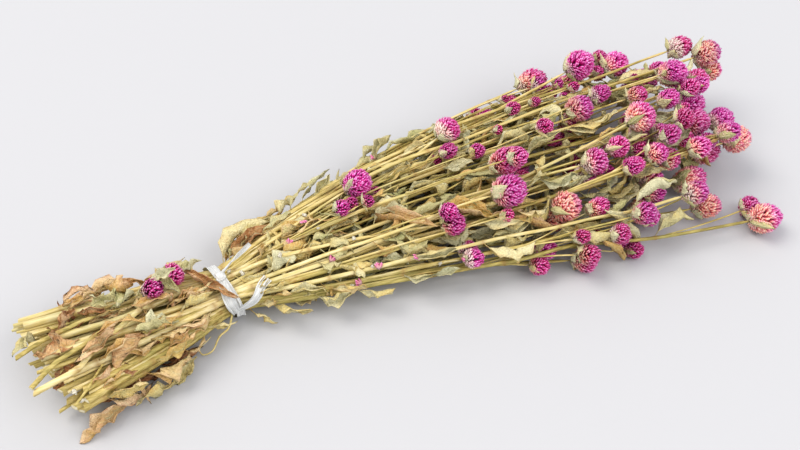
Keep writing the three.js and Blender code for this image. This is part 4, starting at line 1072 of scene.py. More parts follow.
def place_thin_stems():
    """Lays each thin stem between the two neighbours that lead nearest to its end."""
    draw = draws_from(THIN_STEMS_SEED)
    basal = [stem for stem in stems if stem["parent"] < 0]
    pairs = [(a, b) for n, a in enumerate(basal) for b in basal[n + 1:]
             if math.dist(a["at"][TIE_STATION], b["at"][TIE_STATION]) < THIN_NEIGHBOURS]
    thin = []
    balls = []
    ends = list(YOUNG_HEADS)
    for _ in range(BROKEN_STEMS):
        a, b = pairs[int(next(draw) * len(pairs))]
        x = between(BROKEN_END_X, next(draw))
        k = math.floor((x - FIRST_STATION) / STATION_STEP)
        y, z = (a["at"][k] + b["at"][k]) / 2
        ends.append((x, y, z, 0.0))
    for x, y, z, radius in ends:
        last = math.floor((x - (58 if radius else 14) - FIRST_STATION) / STATION_STEP)
        able = [(a, b) for a, b in pairs if min(a["last"], b["last"]) >= last]
        a, b = min(able, key=lambda pair: math.dist((pair[0]["at"][last] + pair[1]["at"][last]) / 2, (y, z)))
        bends = np.array([(station_x(k), *((a["at"][k] + b["at"][k]) / 2)) for k in range(last + 1)])
        start_x = a["cut_x"] + 10 * (next(draw) - 0.5)
        bends[0] += (bends[1] - bends[0]) * (start_x - bends[0, 0]) / STATION_STEP
        end = np.array([x, y, z], float)
        young = None
        if radius:
            stretch = 1 + 0.25 * next(draw)
            room = min(head_distances(end[None]).min(), stem_distances(end[None]).min(), end[2] - 0.5,
                       *[np.linalg.norm(end - other) - reach for other, reach in balls])
            radius = min(radius, (room - YOUNG_HEAD_ROOM) / stretch)
            if radius < YOUNG_HEAD_LEAST:
                continue
            balls.append((end, radius * stretch))
            axis = unit(end - bends[-1])
            young = {"head": end, "axis": axis, "head_radius": radius, "stretch": stretch,
                     "turn": ANY_TURN * next(draw)}
            end = end - axis * max(0.0, radius * stretch - TIP_INSIDE_HEAD)
        thin.append({"spray": a["spray"], "bends": np.concatenate([bends, [end]]),
                     "radius": between(THIN_RADIUS, next(draw)), "young": young})
    return thin


thin_stems = place_thin_stems()

# Four stems lie across the others at the cut ends: the points of each, its radius, the places of its
# nodes and the shift of its tint. One thin shoot is curled up under the tape.
CROSSING_STEMS = [
    ([(-131, -48, 38.5), (-117, -45, 39), (-102, -41, 39), (-92, -31, 39), (-75, -23, 40.5),
      (-57, -10, 37.5)], 2.1, [-104, -94, -60], -0.12),
    ([(-132, -46, 41.5), (-115, -33, 41), (-97, -27, 41.5), (-80, -17, 39.5)], 1.7, [-90], 0.0),
    ([(-137, -23, 45), (-119, -15, 43), (-98, -8, 40.5), (-84, -5, 38)], 1.6, [-110], -0.06),
    ([(-111, -63, 32.5), (-101, -54, 33), (-91, -41, 31.5), (-82, -28, 31)], 0.9, [], -0.04),
]
CURLED_SHOOT = [(-1, -19, 14), (-7, -27, 8), (-15, -31, 7), (-22, -38, 4), (-29, -38, 3), (-30, -33, 4),
                (-24, -31, 6.5), (-20, -27, 5)]
STEM_SEED = 900
THIN_STEM_SEED = 1700
CROSSING_STEM_SEED = 2200
CURLED_SHOOT_SEED = 41
SPRAYS = 1 + max(stem["spray"] for stem in stems)
for spray in range(SPRAYS):
    grown = bmesh.new()
    for number, stem in enumerate(stems):
        if stem["spray"] == spray:
            radii = np.array([stem["butt_radius"], stem["neck_radius"]]) * STEM_SIZE
            nodes = np.array([x for x, _ in stem.get("nodes", [])])
            sides = STEM_SIDES if stem["parent"] < 0 else THIN_STEM_SIDES
            add_stem(grown, stem_bends(stem), radii, draws_from(STEM_SEED + number), nodes,
                     stem["parent"] < 0, sides)
    for number, thin in enumerate(thin_stems):
        if thin["spray"] == spray:
            draw = draws_from(THIN_STEM_SEED + number)
            nodes = np.arange(thin["bends"][0, 0] + 50 * next(draw), thin["bends"][-1, 0] - 12, 62)
            radii = (thin["radius"], thin["radius"] * 0.8, THIN_TIP_RADIUS)
            add_stem(grown, thin["bends"], radii, draw, nodes, True, THIN_STEM_SIDES, -0.04)
    for number, (points, radius, nodes, tint_shift) in enumerate(CROSSING_STEMS):
        if number == spray:
            draw = draws_from(CROSSING_STEM_SEED + number)
            add_stem(grown, np.array(points, float), (radius, radius * 0.85), draw,
                     np.array(nodes, float), True, STEM_SIDES, tint_shift)
    if spray == 0:
        curl = smooth_line(np.array(CURLED_SHOOT, float), [5] * (len(CURLED_SHOOT) - 1))
        add_stem(grown, curl, (0.8, 0.55, 0.35), draws_from(CURLED_SHOOT_SEED), np.zeros(0), False,
                 THIN_STEM_SIDES, -0.16)
    piece = make_piece(grown, f"spray_{spray + 1:02}_stems", [dried_stem])
    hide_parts(f"spray_{spray + 1:02}")

# The leaves: dried and crumpled, curled along their length, each on a short stalk from a node. Those of
# the solids are made finer here, and many more are tucked between the stems.
LEAF_COLUMNS = 6
LEAF_ROWS = 12
LEAF_THICKNESS = 0.35
STALK_HALF_WIDTH = 0.6
CRUMPLE_SIZE = 8.0
CRUMPLE_DEPTH = 2.4
FINE_CRUMPLE_SIZE = 4.2
FINE_CRUMPLE_DEPTH = 1.5
MORE_LEAVES_PER_STEM = 11
BUTT_LEAVES_PER_STEM = 6
FAR_LEAVES = 9
MORE_LEAVES_SEED = 431
MORE_LEAF_SHAPE = {"length": (16, 42), "width": (6, 13), "curl": (-2.4, 1.8), "fold": (0.1, 1.1),
                   "twist": (-2.2, 2.2)}
BUTT_LEAF_WIDTH = 0.75
CUT_MARGIN = 4
BUTT_LEAVES_END = -6
TIE_MARGIN = 4
HEAD_MARGIN = 22
MORE_LEAF_TILT = (0.06, 0.6)
MORE_LEAF_TRIES = 10
SHRINK_PER_TRY = 0.05
# What each of them keeps from the floor, the tie, the heads, the free ends of the tape and the stems,
# how far it may stand out of the bunch, and how deep it may press into a stem once half its tries failed.
MORE_LEAF_FLOOR = 1.0
MORE_LEAF_FROM_TIE = 5.0
MORE_LEAF_FROM_HEADS = 0.5
MORE_LEAF_FROM_TAPE_ENDS = 4.0
MORE_LEAF_FROM_STEMS = (0.3, -1.2)
MORE_LEAF_ON_ITS_STEM = 1.5
MORE_LEAF_OUTSIDE = 9
LEAF_DRAWS_SEED = 77001
CRUMPLE_SEED = 3
BLOTCH_DEPTH = 0.4
VEINS_IN_LEAF = 9.0
VEIN_SLANT = -2.2
CREASE_WIDTH = 0.35

# Dried leaf: a matt, brittle skin in sage, tan or brown, paler beneath. Its midrib and side veins are
# paler, and it is creased all over. Leaves that lie deep in the bunch are moved to the darker browns
# and sages, as painted shade.
LEAF_COLOURS = {
    "dried_leaf_upper": [
        (0.0, "6e7045"), (0.12, "94945f"), (0.26, "b2ae7a"), (0.42, "cabf8f"), (0.55, "d2bf80"),
        (0.68, "cda964"), (0.82, "d6ae80"), (0.92, "b07c4e"), (1.0, "7f4d2c")],
    "dried_leaf_underside": [
        (0.0, "85876a"), (0.12, "acac86"), (0.26, "c5c3a0"), (0.42, "d6d0ac"), (0.55, "dccf9e"),
        (0.68, "d4b884"), (0.82, "e2c29c"), (0.92, "c1926a"), (1.0, "946442")],
}
leaf_materials = []
for name, stops in LEAF_COLOURS.items():
    material, surface = new_material(name)
    leaf_materials.append(material)
    coordinates = add_node(material, "ShaderNodeTexCoord")
    blotches = add_node(material, "ShaderNodeTexNoise", {"Vector": coordinates.outputs["Object"]},
                        Scale=170.0, Detail=5.0, Roughness=0.6)
    tint = add_node(material, "ShaderNodeAttribute", attribute_name="tint")
    blotched = add_node(material, "ShaderNodeMath", {
        0: blotches.outputs["Fac"], 1: BLOTCH_DEPTH, 2: tint.outputs["Fac"]}, operation="MULTIPLY_ADD")
    leaf_colour = add_node(material, "ShaderNodeValToRGB", {"Fac": blotched.outputs["Value"]}, stops=stops)
    across = add_node(material, "ShaderNodeAttribute", attribute_name="across")
    along_leaf = add_node(material, "ShaderNodeAttribute", attribute_name="along")
    aside = add_node(material, "ShaderNodeMath", {"Value": across.outputs["Fac"]}, operation="ABSOLUTE")
    slanted = add_node(material, "ShaderNodeMath", {
        0: aside.outputs["Value"], 1: VEIN_SLANT}, operation="MULTIPLY_ADD")
    steps = add_node(material, "ShaderNodeMath", {
        0: along_leaf.outputs["Fac"], 1: VEINS_IN_LEAF}, operation="MULTIPLY")
    join(slanted, {2: steps.outputs["Value"]})
    ridged = add_node(material, "ShaderNodeMath", {0: slanted.outputs["Value"], 1: 0.5},
                      operation="PINGPONG")
    veins = add_node(material, "ShaderNodeValToRGB", {"Fac": ridged.outputs["Value"]}, stops=[
        (0.0, "9a9a9a"), (0.12, "2a2a2a"), (0.3, "000000")])
    rib = add_node(material, "ShaderNodeValToRGB", {"Fac": aside.outputs["Value"]}, stops=[
        (0.0, "ffffff"), (0.08, "8a8a8a"), (0.16, "000000")])
    ribbed = add_node(material, "ShaderNodeMixRGB", {
        "Color1": veins.outputs["Color"], "Color2": rib.outputs["Color"]}, blend_type="LIGHTEN", Fac=1.0)
    veined = add_node(material, "ShaderNodeMixRGB", {
        "Fac": ribbed.outputs["Color"], "Color1": leaf_colour.outputs["Color"]}, Color2=linear("ddd5ac"))
    bent = add_node(material, "ShaderNodeTexNoise", {"Vector": coordinates.outputs["Object"]},
                    Scale=260.0, Detail=3.0)
    bending = add_node(material, "ShaderNodeMixRGB", {
        "Color1": coordinates.outputs["Object"], "Color2": bent.outputs["Color"]}, Fac=0.004)
    creases = add_node(material, "ShaderNodeTexVoronoi", {"Vector": bending.outputs["Color"]},
                       feature="DISTANCE_TO_EDGE", Scale=380.0)
    creased = add_node(material, "ShaderNodeMath", {0: creases.outputs["Distance"], 1: CREASE_WIDTH},
                       operation="MINIMUM")
    raised = add_node(material, "ShaderNodeMixRGB", {
        "Color1": creased.outputs["Value"], "Color2": ribbed.outputs["Color"]}, Fac=0.25)
    bump = add_node(material, "ShaderNodeBump", {"Height": raised.outputs["Color"]},
                    Strength=0.9, Distance=0.0026)
    join(surface, {
        "Base Color": veined.outputs["Color"], "Roughness": 0.7, "Normal": bump.outputs["Normal"]})


def add_blade(grown, middle, side, face, half, roll, fold, waves, crumple, tint, s):
    """A leaf's sheet along its midrib: folded and rolled up from it, wavy and crumpled. Less so at its
    stalk, where s is below 0."""
    across = np.linspace(-1, 1, LEAF_COLUMNS)[None]
    s = s[:, None]
    open_share = np.clip(s / 0.2, 0, 1)
    turn = roll * open_share * np.abs(across)
    out = half[:, None] * np.sign(across) * np.where(turn > 1e-3, np.sin(turn) / np.maximum(
        roll * open_share, 1e-3), np.abs(across))
    lift = half[:, None] * (fold * np.abs(across) + 1 - np.cos(turn))
    for rate, slant, phase, size in waves:
        rise = half[:, None] * size * np.sin(s * rate + across * slant + phase)
        lift = lift + rise * across ** 2 * open_share
    points = middle[:, None] + side[:, None] * out[..., None] + face[:, None] * lift[..., None]
    for size, depth in ((CRUMPLE_SIZE, CRUMPLE_DEPTH), (FINE_CRUMPLE_SIZE, FINE_CRUMPLE_DEPTH)):
        pushed = [[noise.noise_vector(Vector(point) / size) for point in row] for row in points]
        points = points + np.array(pushed) * depth * crumple * open_share[..., None]
    points[..., 2] = np.maximum(points[..., 2], 0.5)
    add_sheet(grown, points, tint=tint + 0.1 * np.abs(across) ** 2, across=across, along=s)


def add_leaf(grown, leaf, draw, tint, crumple=1.0):
    """One leaf: its stalk, then its blade."""
    s = np.concatenate([[0], np.linspace(0.03, 1, LEAF_ROWS - 2) ** 0.9])
    middle, side, face, half = leaf_line(leaf, s)
    middle = np.concatenate([leaf["node"][None], middle])
    side, face = np.concatenate([side[:1], side]), np.concatenate([face[:1], face])
    s = np.concatenate([[-0.1], s])
    stalk = STALK_HALF_WIDTH * np.clip((1 - s) / 0.1, 0, 1)
    half = np.maximum(np.concatenate([[STALK_HALF_WIDTH], half]), stalk)
    waves = [(rate * between((0.8, 1.25), next(draw)), between((-1, 1), next(draw)), ANY_TURN * next(draw),
              between((0.12, 0.5), next(draw))) for rate in (9.0, 17.0)]
    add_blade(grown, middle, side, face, half, between((0.5, 2.3), next(draw)), leaf["fold"], waves,
              crumple, tint, s)


def add_more_leaves():
    """More leaves than the solids have, tucked between the stems or standing out a little."""
    draw = draws_from(MORE_LEAVES_SEED)
    more = []
    basal = [number for number, stem in enumerate(stems) if stem["parent"] < 0]
    for number in basal:
        stem = stems[number]
        far_share = np.clip((stem["head"][1] - 15) / 40, 0, 1)
        for n in range(MORE_LEAVES_PER_STEM + BUTT_LEAVES_PER_STEM + int(FAR_LEAVES * far_share)):
            if n < BUTT_LEAVES_PER_STEM:
                x = between((stem["cut_x"] + CUT_MARGIN, BUTT_LEAVES_END), next(draw))
            else:
                x = between((TIE_MARGIN, stem["head_x"] - HEAD_MARGIN), next(draw))
            shape = {name: between(limits, next(draw)) for name, limits in MORE_LEAF_SHAPE.items()}
            if x < 0:
                shape["width"] *= BUTT_LEAF_WIDTH
            phase = ANY_TURN * next(draw)
            for tries in range(MORE_LEAF_TRIES):
                scale = 1 - SHRINK_PER_TRY * tries
                tilt = between(MORE_LEAF_TILT, next(draw))
                leaf = leaf_on(number, x, phase + tries * LEAF_TURN, tilt, shape)
                leaf["length"] *= scale
                leaf["width"] *= scale
                points = leaf_points(leaf)
                disc = np.hypot(*to_disc(points[:, 1], points[:, 2], points[:, 0]))
                outside = ((disc - 1) * envelope(points[:, 0])[2]).max()
                near_tie = (np.abs(points[:, 0] - tie_x(points[:, 1])) < MORE_LEAF_FROM_TIE).any()
                if points[:, 2].min() < MORE_LEAF_FLOOR or outside > MORE_LEAF_OUTSIDE or near_tie:
                    continue
                if head_distances(points).min() < MORE_LEAF_FROM_HEADS:
                    continue
                if not is_apart(points, tail_points, MORE_LEAF_FROM_TAPE_ENDS):
                    continue
                away = stem_distances(points)
                away[number] += MORE_LEAF_ON_ITS_STEM
                if away.min() > MORE_LEAF_FROM_STEMS[2 * tries // MORE_LEAF_TRIES]:
                    more.append(leaf)
                    break
    return more


def add_collar(grown, stem, draw):
    """The pair of small leaves under a head: they cup its base, and their pointed tips stand off it."""
    axis, head = np.array(stem["axis"]), np.array(stem["head"])
    level, up = crossing(axis)
    radius, half = stem["head_radius"], stem["head_radius"] * stem["stretch"]
    s = np.linspace(0, 1, LEAF_ROWS - 4)
    for opposite in (0, math.pi):
        turn = stem["turn"] + opposite + between((-0.3, 0.3), next(draw))
        out = level * math.cos(turn) + up * math.sin(turn)
        side = np.broadcast_to(np.cross(axis, out), (len(s), 3))
        polar = 0.1 + s * between((0.85, 1.5), next(draw))
        lift = 1.1 + between((0.0, 0.5), next(draw)) * s ** 3
        middle = (head - axis * (half * lift * np.cos(polar))[:, None]
                  + out * (radius * lift * np.sin(polar))[:, None])
        face = unit(out) * np.sin(polar)[:, None] - axis * np.cos(polar)[:, None]
        width = (2 + radius * between((0.2, 0.42), next(draw))) * np.sin(math.pi * (0.04 + 0.96 * s) ** 0.7)
        waves = [(9.0, 0.9, ANY_TURN * next(draw), 0.4), (15.0, -0.6, ANY_TURN * next(draw), 0.2)]
        add_blade(grown, middle, side, -face, np.maximum(width, 0.02), between((0.3, 1.6), next(draw)),
                  between((0.0, 0.5), next(draw)), waves, 0.4, between((0.0, 0.3), next(draw)), s + 0.1)


def top_at(x, y):
    """The height of the topmost stem's surface over a place, or the floor's where there is none."""
    at, radius, present = stems_at(np.array([float(x)]))
    aside = np.abs(at[..., 0] - y)
    over = at[..., 1] + np.sqrt(np.maximum(0, radius ** 2 - aside ** 2))
    return float(np.where(present & (aside < radius + 1.5), over, 0).max())


# Single leaves that stand out in the bunch. For its foot and its tip: x, y and how far above the stems;
# then its width, curl, fold, twist, tint and crumple.
SINGLE_LEAVES = [
    ((-24, 15, 5.0), (4, -22, 7.5), 9.0, 0.5, 0.7, 0.6, 0.62, 1.1),
    ((-47, 3, 13), (-27, 2, 18), 8.0, 0.5, 0.5, 0.4, 0.12, 0.8),
    ((-60, -9, 5), (-37, -10, 8), 8.5, 0.4, 0.7, -0.5, 0.5, 1.2),
    ((-86, -58, 5), (-117, -70, 3), 12.0, -0.4, 0.3, 0.5, 0.52, 1.7),
    ((-71, -38, 2), (-70, -62, 8), 5.5, -0.3, 0.5, 3.0, 0.56, 0.8),
    ((116, 14, 9), (144, -22, 8), 16.0, -0.5, 0.4, 0.3, 0.5, 0.9),
    ((10, 24, 2), (50, 35, 5), 11.0, -0.3, 0.7, 0.6, 0.62, 1.6),
    ((16, 26, 2), (30, 40, 4), 10.0, 0.5, 0.5, -0.8, 0.2, 1.8),
    ((84, 44, 2), (98, 52, 7), 8.0, 0.6, 0.8, 0.7, 0.14, 1.2),
    ((136, 62, 2), (158, 73, 8), 9.0, 0.5, 0.7, -0.6, 0.16, 1.2),
    ((163, -13, 4), (197, -30, 4), 13.0, -0.3, 0.8, 0.5, 0.42, 1.5),
    ((194, -28, 5), (233, -47, 3), 12.0, 0.4, 0.6, -0.7, 0.5, 1.4),
    ((256, -70, 6), (284, -80, 6), 7.0, -0.3, 0.8, 0.9, 0.4, 1.0),
    ((270, -60, 3), (303, -76, 10), 11.0, -0.5, 0.5, 0.4, 0.16, 0.9),
    ((-88, 2, 2), (-70, 8, 3), 10.0, 0.5, 0.6, 0.9, 0.1, 2.2),
    ((-74, 0, 2), (-56, 6, 4), 11.0, -0.6, 0.5, -1.1, 0.05, 2.2),
    ((-62, 8, 2), (-80, 13, 5), 10.0, 0.7, 0.8, 0.8, 0.5, 2.0),
    ((-52, 10, 3), (-36, 16, 6), 10.0, -0.4, 0.6, 0.7, 0.58, 1.8),
    ((-30, 12, 4), (-12, 15, 5), 10.0, 0.6, 0.7, -0.8, 0.12, 1.8),
    ((-42, 4, 9), (-30, -6, 11), 8.0, -0.6, 0.4, 0.3, 0.1, 0.8),
    ((-128, -4, 4), (-134, -14, 8), 8.0, -0.8, 0.5, 0.6, 0.18, 1.4),
    ((-102, -20, 0), (-128, -28, -4), 13.0, 0.6, 0.4, -0.9, 0.6, 2.0),
    ((-96, -30, -3), (-122, -40, -6), 12.0, -0.6, 0.4, 0.9, 0.66, 2.0),
    ((-74, -24, 2), (-104, -36, 1), 10.0, 0.4, 0.9, -1.2, 0.56, 1.8),
    ((-58, -30, 2), (-84, -46, 2), 9.0, -0.4, 0.8, 1.4, 0.58, 1.8),
    ((-40, -26, 2), (-66, -30, 3), 10.0, 0.6, 0.8, 0.9, 0.12, 1.6),
    ((-50, -52, 3), (-78, -62, 4), 11.0, 0.5, 0.6, 1.2, 0.3, 2.0),
    ((-36, -40, 4), (-58, -52, 3), 10.0, -0.6, 0.6, -1.0, 0.24, 2.0),
    ((322, 76, -10), (352, 84, -12), 12.0, 0.4, 0.4, 0.5, 0.2, 1.4),
    ((352, 78, -10), (378, 80, -12), 12.0, -0.4, 0.4, -0.5, 0.25, 1.4),
    ((268, 86, -8), (296, 92, -8), 10.0, 0.4, 0.5, 0.6, 0.16, 1.4),
    ((238, 86, -6), (264, 92, -6), 10.0, -0.4, 0.5, -0.6, 0.3, 1.4),
    ((212, 82, -4), (238, 88, -6), 10.0, 0.4, 0.5, 0.7, 0.2, 1.4),
]


# Without a seed of its own the crumpling would differ from run to run.
noise.seed_set(CRUMPLE_SEED)
more_leaves = add_more_leaves()
draw = draws_from(LEAF_DRAWS_SEED)
for spray in range(SPRAYS):
    grown = bmesh.new()
    for leaf in leaves + more_leaves:
        if stems[leaf["stem"]]["spray"] == spray:
            share = np.clip((leaf["node"][0] + 120) / 200, 0, 1)
            tan = between((0.4, 0.82), next(draw))
            sage = between((0.03, 0.34), next(draw)) if next(draw) < 0.8 else between((0.3, 0.5), next(draw))
            # Painted shade: a leaf that lies below the topmost stems is tinted darker, towards dark brown
            # near the cut ends and dark sage near the flowers.
            halfway = leaf["root"] + leaf["along"] * leaf["length"] / 2
            inside = np.clip((top_at(halfway[0], halfway[1]) - halfway[2] - 2) / 8, 0, 1)
            shift = inside * (0.45 - 0.55 * share)
            add_leaf(grown, leaf, draw, tan + (sage - tan) * share ** 0.7 + shift, 1.8 - 0.6 * share)
    for stem in [stem for stem in stems if stem["spray"] == spray]:
        add_collar(grown, stem, draw)
    for n, (foot, tip, width, curl, fold, twist, tint, crumple) in enumerate(SINGLE_LEAVES):
        if n % SPRAYS != spray:
            continue
        foot, tip = (np.array([x, y, max(2.5, top_at(x, y) + lift)]) for x, y, lift in (foot, tip))
        along = unit(tip - foot)
        side = unit(np.cross((0, 0, 1), along))
        leaf = {"node": foot - 3 * along, "root": foot, "along": along, "side": side,
                "normal": np.cross(along, side), "length": float(np.linalg.norm(tip - foot)) * 1.05,
                "width": width, "curl": curl, "fold": fold, "twist": twist}
        add_leaf(grown, leaf, draw, tint, crumple)
    for thin in thin_stems:
        if thin["spray"] == spray and thin["young"]:
            add_collar(grown, thin["young"], draw)
    piece = make_piece(grown, f"spray_{spray + 1:02}_leaves", leaf_materials)
    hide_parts(f"spray_{spray + 1:02}")
    thicken(piece, LEAF_THICKNESS).material_offset = 1

# The flower heads: globes of papery pointed bracts on a core darkened as painted shade, set in spirals
# from the base to the top. Each bract is a thin keeled boat with a pale point; older heads are faded at
# the base.
HEAD_CORE = 0.74
BRACTS_PER_AREA = 0.362
BRACT_ROOT = 0.62
BRACT_LEAN = 0.42
BRACT_WIDTH = 2.5
BRACT_KEEL = 0.5
KEEL_PALE = 0.16
HEAD_LIFT = 0.4
LOW_HEAD_SIZE = 0.86

# Older heads have faded to salmon and straw from the base up: x, y and how much of the head.
FADED_HEADS = [
    (394, -94, 0.55), (427, 46, 0.7), (410, -29, 0.95), (364, -39, 0.6), (327, -36, 0.6), (340, -69, 0.5),
    (330, -3, 0.45), (288, 86, 0.4), (248, -40, 0.85), (301, 34, 0.5), (357, 71, 0.25), (360, -66, 0.75),
    (282, -20, 0.35), (313, -50, 0.5), (380, -9, 0.3), (286, -64, 0.3), (294, 37, 0.6), (388, -19, 0.4),
    (217, 0, 0.25),
]
# Some are still white at the base: x, y and how much of the head.
PALE_HEADS = [
    (168, -51, 0.6), (170, -40, 0.5), (411, 61, 0.5), (286, 74, 0.5), (196, 55, 0.5), (-47, -1, 0.45),
    (-32, 9, 0.4), (279, -17, 0.5),
]
HEAD_VALUES = ("along", "fade", "pale", "shade", "hue")
GOLDEN_ANGLE = math.pi * (3 - math.sqrt(5))
BRACT_ROLL = 0.3
BRACT_WIDTHS = (0.8, 1.15)
HEAD_SEED = 5000
YOUNG_HEAD_SEED = 400
AGE_SEED = 3131

# Papery bract: a thin, dry scale with a silky sheen, deep magenta at its root and paler to its point. An
# older one has gone salmon or straw, and some are still white at the base of the head. Every colour is
# darkest at the root, partly its own and partly painted shade where the bracts overlap.
papery_bract, surface = new_material("papery_bract")
coordinates = add_node(papery_bract, "ShaderNodeTexCoord")
along_bract = add_node(papery_bract, "ShaderNodeAttribute", attribute_name="along")
# The root ends of these ramps are darkened partly as painted shade between the overlapping bracts.
magenta = add_node(papery_bract, "ShaderNodeValToRGB", {"Fac": along_bract.outputs["Fac"]}, stops=[
    (0.0, "4a031e"), (0.36, "900846"), (0.62, "b41468"), (0.85, "cc3e8a"), (1.0, "e898c6")])
straw = add_node(papery_bract, "ShaderNodeValToRGB", {"Fac": along_bract.outputs["Fac"]}, stops=[
    (0.0, "7c2a2c"), (0.4, "cc5c54"), (0.74, "e8947c"), (1.0, "f8dcb8")])
white_pink = add_node(papery_bract, "ShaderNodeValToRGB", {"Fac": along_bract.outputs["Fac"]}, stops=[
    (0.0, "c9a3a6"), (0.5, "e3c9c2"), (1.0, "f6eee0")])
fade = add_node(papery_bract, "ShaderNodeAttribute", attribute_name="fade")
faded = add_node(papery_bract, "ShaderNodeMixRGB", {
    "Fac": fade.outputs["Fac"], "Color1": magenta.outputs["Color"], "Color2": straw.outputs["Color"]})
pale = add_node(papery_bract, "ShaderNodeAttribute", attribute_name="pale")
paled = add_node(papery_bract, "ShaderNodeMixRGB", {
    "Fac": pale.outputs["Fac"], "Color1": faded.outputs["Color"], "Color2": white_pink.outputs["Color"]})
shade = add_node(papery_bract, "ShaderNodeAttribute", attribute_name="shade")
hue = add_node(papery_bract, "ShaderNodeAttribute", attribute_name="hue")
shaded = add_node(papery_bract, "ShaderNodeHueSaturation", {
    "Hue": hue.outputs["Fac"], "Value": shade.outputs["Fac"], "Color": paled.outputs["Color"]})
grain = add_node(papery_bract, "ShaderNodeTexNoise", {"Vector": coordinates.outputs["Object"]},
                 Scale=2500.0, Detail=2.0)
bump = add_node(papery_bract, "ShaderNodeBump", {"Height": grain.outputs["Fac"]},
                Strength=0.3, Distance=0.0002)
join(surface, {"Base Color": shaded.outputs["Color"], "Roughness": 0.5, "Normal": bump.outputs["Normal"]})

grown = bmesh.new()
rings = [np.zeros((3, 3))]
for z, half in ((0.4, 1.0), (0.77, 0.78)):
    rings.append(np.array([(half, 0, z), (0, BRACT_KEEL * half, z), (-half, 0, z)]))
rings.append(np.broadcast_to((0, 0, 1), (3, 3)))
keels = np.array([[0, 0, 0], *[[0, 1, 0]] * 2, [1, 1, 1]])
add_sheet(grown, np.array(rings, float), closed=True, keel=keels)
bmesh.ops.recalc_face_normals(grown, faces=grown.faces)
bract_mesh = bpy.data.meshes.new("bract")
layer = grown.verts.layers.float["keel"]
bract_keel = np.array([vert[layer] for vert in grown.verts])
grown.to_mesh(bract_mesh)
grown.free()
bract_points = np.array([vert.co[:] for vert in bract_mesh.vertices])
head_mesh = bpy.data.meshes.new("one_head")


def add_head(grown, stem, number):
    """One flower head. Returns the values that each of its points has, in the order of HEAD_VALUES."""
    axis, middle = np.array(stem["axis"]), np.array(stem["head"])
    level, up = crossing(axis)
    radius = stem["head_radius"] * (LOW_HEAD_SIZE if stem.get("alone") else 1)
    half = radius * stem["stretch"]
    draw = np.random.default_rng(HEAD_SEED + number)
    count = int(4 * math.pi * radius * half * BRACTS_PER_AREA)
    n = np.arange(count)
    polar = np.arccos(np.clip(1 - 2 * (n + 0.5) / count, -1, 1))
    turn = n * GOLDEN_ANGLE + draw.uniform(-0.16, 0.16, count)

    def on_head(polar, turn, share):
        return (middle - axis * (half * share * np.cos(polar))[:, None]
                + level * (radius * share * np.sin(polar) * np.cos(turn))[:, None]
                + up * (radius * share * np.sin(polar) * np.sin(turn))[:, None])

    lump_turn, lump_side = draw.uniform(0, 6.3, 2)
    lumps = 1 + 0.04 * np.sin(2 * turn + lump_turn) * np.sin(polar) + 0.04 * np.cos(3 * polar + lump_side)
    tips = on_head(polar, turn, draw.uniform(0.97, 1.13, count) * lumps)
    root_polar = np.maximum(0.05, polar - BRACT_LEAN - draw.uniform(-0.1, 0.1, count))
    roots = on_head(root_polar, turn, np.full(count, BRACT_ROOT))
    long_way = tips - roots
    side = unit_rows(np.cross(long_way, tips - middle))
    face = unit_rows(np.cross(side, long_way))
    side, face = turned(side, face, draw.uniform(-BRACT_ROLL, BRACT_ROLL, count)[:, None])
    width = BRACT_WIDTH * draw.uniform(*BRACT_WIDTHS, count) * min(1.05, 0.4 + radius / 16) / 2
    x, y, z = bract_points.T
    placed = (roots[:, None] + long_way[:, None] * z[None, :, None]
              + side[:, None] * (width[:, None] * x)[..., None]
              + face[:, None] * (width[:, None] * y + 0.4 * np.sin(math.pi * z)[None])[..., None])
    placed[..., 2] = np.maximum(placed[..., 2], HEAD_LIFT)
    one = bmesh.new()
    for points in placed:
        bract_mesh.vertices.foreach_set("co", points.ravel())
        one.from_mesh(bract_mesh)
    core = bmesh.ops.create_uvsphere(one, u_segments=16, v_segments=10, radius=1)["verts"]
    to_place = Matrix((level, up, axis)).transposed().to_4x4()
    bmesh.ops.transform(one, verts=core, matrix=Matrix.Translation(stem["head"]) @ to_place
                        @ Matrix.Diagonal((radius * HEAD_CORE, radius * HEAD_CORE, half * HEAD_CORE, 1)))
    points_in_core = len(core)
    one.to_mesh(head_mesh)
    one.free()
    grown.from_mesh(head_mesh)
    rise = (1 - np.cos(polar)) / 2
    fade = np.clip((stem["age"] - rise) / 0.35 + 0.5, 0, 1) * draw.uniform(0.6, 1, count)
    pale_part, whole_shade = 0.1 + 0.3 * draw.uniform() ** 3, draw.uniform(0.84, 1.1)
    pale_part = max(pale_part, stem.get("pale", 0))
    pale = np.clip((pale_part - rise) / 0.14, 0, 1) * draw.uniform(0.5, 1, count)
    shade = draw.uniform(0.82, 1.2, count) * whole_shade
    hue = 0.5 + draw.uniform(-0.028, 0.006) + draw.uniform(-0.008, 0.008, count)
    along = np.tile(z + KEEL_PALE * bract_keel, (count, 1)) + draw.uniform(-0.14, 0.08, count)[:, None]
    each = len(z)
    # The core takes the darkest root colour and a shade of 0.65: painted shade inside the head, seen between
    # the bracts.
    return [np.concatenate([values, np.full(points_in_core, last)]) for values, last in (
        (along.ravel(), 0.0), (np.repeat(fade, each), 0.0), (np.repeat(pale, each), 0.0),
        (np.repeat(shade, each), 0.65), (np.repeat(hue, each), 0.5))]


def write_values(piece, values):
    """Writes values for each point of a piece, in the order of HEAD_VALUES, for its material to read."""
    for name, held in zip(HEAD_VALUES, values):
        layer = piece.data.attributes.new(name, "FLOAT", "POINT")
        layer.data.foreach_set("value", held.astype(np.float32))


def make_heads(name, carriers):
    """One piece of flower heads. Each comes with the number that its draws start from."""
    grown = bmesh.new()
    parts = [add_head(grown, carrier, number) for number, carrier in carriers]
    piece = make_piece(grown, name, [papery_bract])
    write_values(piece, [np.concatenate(values) for values in zip(*parts)])
    return piece


